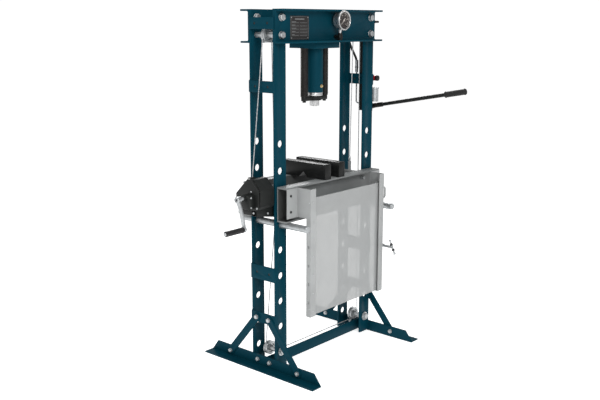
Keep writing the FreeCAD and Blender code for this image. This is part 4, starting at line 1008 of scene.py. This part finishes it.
def guard():
    """The pull on the guard's right rail, the screws, the pad bolts and the lock lever."""
    bm = bmesh.new()
    y, high, low = -222, 868, 812
    path = smooth_path([at(300, y, high), at(331, y, high), at(331, y, low), at(300, y, low)], 12, 6)
    tube(bm, path, 5)
    for z in (high, low):
        washer(bm, at(302, y, z), X, 9, 2.4)
    piece("guard_pull", bm, PALE, "guard_rail_right", False)
    bm = bmesh.new()
    for side in (-1, 1):
        for z in (326, 420, 515, 610, 705, 780, 880):
            screw(bm, at(side * 282, -235, z), -Y, 3.4)
        for z in (340, 880):
            screw(bm, at(side * 302, -228, z), X * side, 3.2)
    piece("guard_screws", bm, ZINC, "guard_rail_left", False)
    bm = bmesh.new()
    for x in (-COLUMN_X, COLUMN_X):
        for z in (832, 912):
            turned(bm, [(0, 0), (6.5, 0), (6.5, 1.5), (5, 3.5), (3, 3.8), (2.6, 1), (0, 1)],
                   at(x, -149.5, z), -Y, 24)
    piece("pad_bolts", bm, PLASTIC, "guard_rail_left", False)
    bm = bmesh.new()
    rod(bm, at(302.4, LOCK_Y, LOCK_Z), at(308, LOCK_Y, LOCK_Z), 12, 32, 0.8)
    rod(bm, at(307, LOCK_Y, LOCK_Z), at(329, LOCK_Y, LOCK_Z), 9, 6, 0.8)
    block(bm, (315, -292, LOCK_Z - 7), (322, -214, LOCK_Z + 7), 1.2)
    lean = math.radians(25)
    way = at(0, -math.sin(lean), -math.cos(lean))
    end = at(318.5, -287, LOCK_Z)
    rod(bm, end - way * 41, end + way * 41, 5, 24, 0.8)
    for s in (1, -1):
        turned(bm, [(0, 0), (6.6, 0), (7.4, 1), (7.4, 6), (6.6, 7), (0, 7)], end + way * s * 36, way * s, 24)
    piece("lock_handle", bm, ZINC, "guard_lock_lever")
    bm = bmesh.new()
    for s in (-1, 1):
        turned(bm, [(5, 0), (7.2, 0), (8, 1.5), (8, 11), (7, 12), (5, 12)], end + way * s * 9, way * s, 24)
    rod(bm, at(329, LOCK_Y, LOCK_Z), at(331, LOCK_Y, LOCK_Z), 5, 20)
    piece("lock_sleeves", bm, PLASTIC, "guard_lock_lever", False)


def support_pins():
    """The two round bars that hold the bed in the columns, with chamfered ends."""
    for side, node in ((-1, "support_pin_left"), (1, "support_pin_right")):
        bm = bmesh.new()
        x = side * COLUMN_X
        turned(bm, [(0, 0), (6, 0), (7, 1.5), (15, 1.5), (17, 3.5), (17, 431), (15, 434), (0, 434)],
               at(x, -262, 761.3), Y, 64)
        piece(node + "_bar", bm, PINS, node)


# ---- pump and hose

def pump():
    """The oil tank, release knob, handle grip and pump bolts; returns the hose's ferrules and fittings."""
    bm = bmesh.new()
    turned(bm, [(0, 1345), (32, 1345), (34.4, 1346.5), (35, 1349), (35, 1651), (34.2, 1653.6), (31.5, 1655),
                (12, 1655), (12, 1661), (11, 1662), (0, 1662)], at(TANK_X, 0, 0), Z, 64)
    for z in (1390, 1612):
        turned(bm, [(34, 0), (36, 0), (36.4, 0.6), (36.4, 9.4), (36, 10), (34, 10)], at(TANK_X, 0, z), Z, 64)
    rod(bm, at(TANK_X, 0, 1660), at(TANK_X, 0, 1667), 10.5, 6, 0.8)
    piece("oil_tank", bm, BLACK, "pump_reservoir")
    bm = bmesh.new()
    turned(bm, [(0, 0), (5, 0), (5, 8), (13, 8), (14, 9), (14, 36), (13, 37), (0, 37)],
           at(PUMP_X, -41, 1440), -Y, 32)
    piece("release_collar", bm, RED, "release_knob")
    bm = bmesh.new()
    outline = []
    for i in range(64):
        a = 2 * math.pi * i / 64
        radius = 15 if i % 4 < 2 else 13.9
        outline.append(at(PUMP_X, -77, 1440) + at(math.cos(a), 0, math.sin(a)) * radius)
    pushed(bm, outline, Y * -13, 0.7, 2, 30)
    rod(bm, at(PUMP_X, -89, 1440), at(PUMP_X, -92, 1440), 11, 32, 1.0)
    piece("release_wheel", bm, PLASTIC, "release_knob", False)
    pivot_y, pivot_z = HANDLE_PIVOT
    start = at(440, pivot_y, pivot_z)
    along = at(440, -628, 1394) - start
    length = along.length
    along.normalize()
    bm = bmesh.new()
    near = start + along * (length - 118)
    profile = [(10, 0), (15.5, 0), (16.5, 1), (16.5, 4), (14.2, 7)]
    for i in range(10):
        h = 12 + i * 9.4
        profile += [(14.6, h), (15.2, h + 1), (15.2, h + 5.4), (14.6, h + 6.4)]
    profile += [(14.2, 110), (16.5, 113), (16.5, 117), (14.5, 120), (0, 121), (0, 118), (10, 118)]
    turned(bm, profile, near, along, 40)
    piece("handle_handgrip", bm, RUBBER, "handle_grip")
    bm = bmesh.new()
    rod(bm, at(PUMP_X, pivot_y, pivot_z), at(450.5, pivot_y, pivot_z), 8, 24)
    hexagon(bm, at(451, pivot_y, pivot_z), X, 17, 6)
    for y, z in ((-48, 1276), (4, 1276), (-48, 1456), (4, 1456)):
        washer(bm, at(402, y, z), X, 9, 1.6)
        hexagon(bm, at(403.6, y, z), X, 13, 5.5)
    piece("pump_bolts", bm, ZINC, "pump_block", False)
    bm = bmesh.new()
    ferrule = [(6.5, 0), (8.6, 0), (9.2, 0.8), (9.2, 6), (8.5, 7), (9.2, 8), (9.2, 14), (8.5, 15), (9.2, 16),
               (9.2, 30), (8.2, 32), (6.5, 32)]
    foot = at(*HOSE_END, 0)
    turned(bm, ferrule, foot + Z * 1503, Z, 32)
    turned(bm, ferrule, at(31, 112, PORT_Z), X, 32)
    rod(bm, foot + Z * 1489, foot + Z * 1502, 11, 6, 0.8)
    rod(bm, foot + Z * 1474, foot + Z * 1486, 9.4, 6, 0.8)
    rod(bm, at(0, 86, PORT_Z), at(0, 98, PORT_Z), 12.5, 6, 0.8)
    return piece("hose_ferrules", bm, ZINC, "hose_adapters", False)


def hose(ferrules):
    """The pressure hose from the rear port, round the end of the head and down to the pump's pipe."""
    route = [(30, 112, PORT_Z), (150, 113, 1669), (280, 112, PORT_Z), (384, 113, 1672), (426, 111, 1640),
             (434, 100, 1598), (423, 66, 1560), (*HOSE_END, 1532), (*HOSE_END, 1505)]
    data = bpy.data.curves.new("hose_line", "CURVE")
    data.dimensions = "3D"
    spline = data.splines.new("NURBS")
    spline.points.add(len(route) - 1)
    for point, place in zip(spline.points, route):
        point.co = (*(c * MM for c in place), 1.0)
    spline.order_u = 3
    spline.use_endpoint_u = True
    data.resolution_u = 12
    data.bevel_depth = 6.5 * MM  # the hose's radius
    data.bevel_resolution = 4
    data.use_fill_caps = True
    data.materials.append(RUBBER)
    made = bpy.data.objects.new("hose_line", data)
    bpy.context.scene.collection.objects.link(made)
    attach(made, frame["nodes"]["pressure_hose"]["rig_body"])
    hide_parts("pressure_hose")


rounded_plates()
bolts()
hole_plugs()
weld_beads()
rating_plate()
head_rod()
cylinder_details()
springs()
gauge()
ropes()
winch()
crank()
guard()
support_pins()
hose(pump())
make_camera()
make_studio()
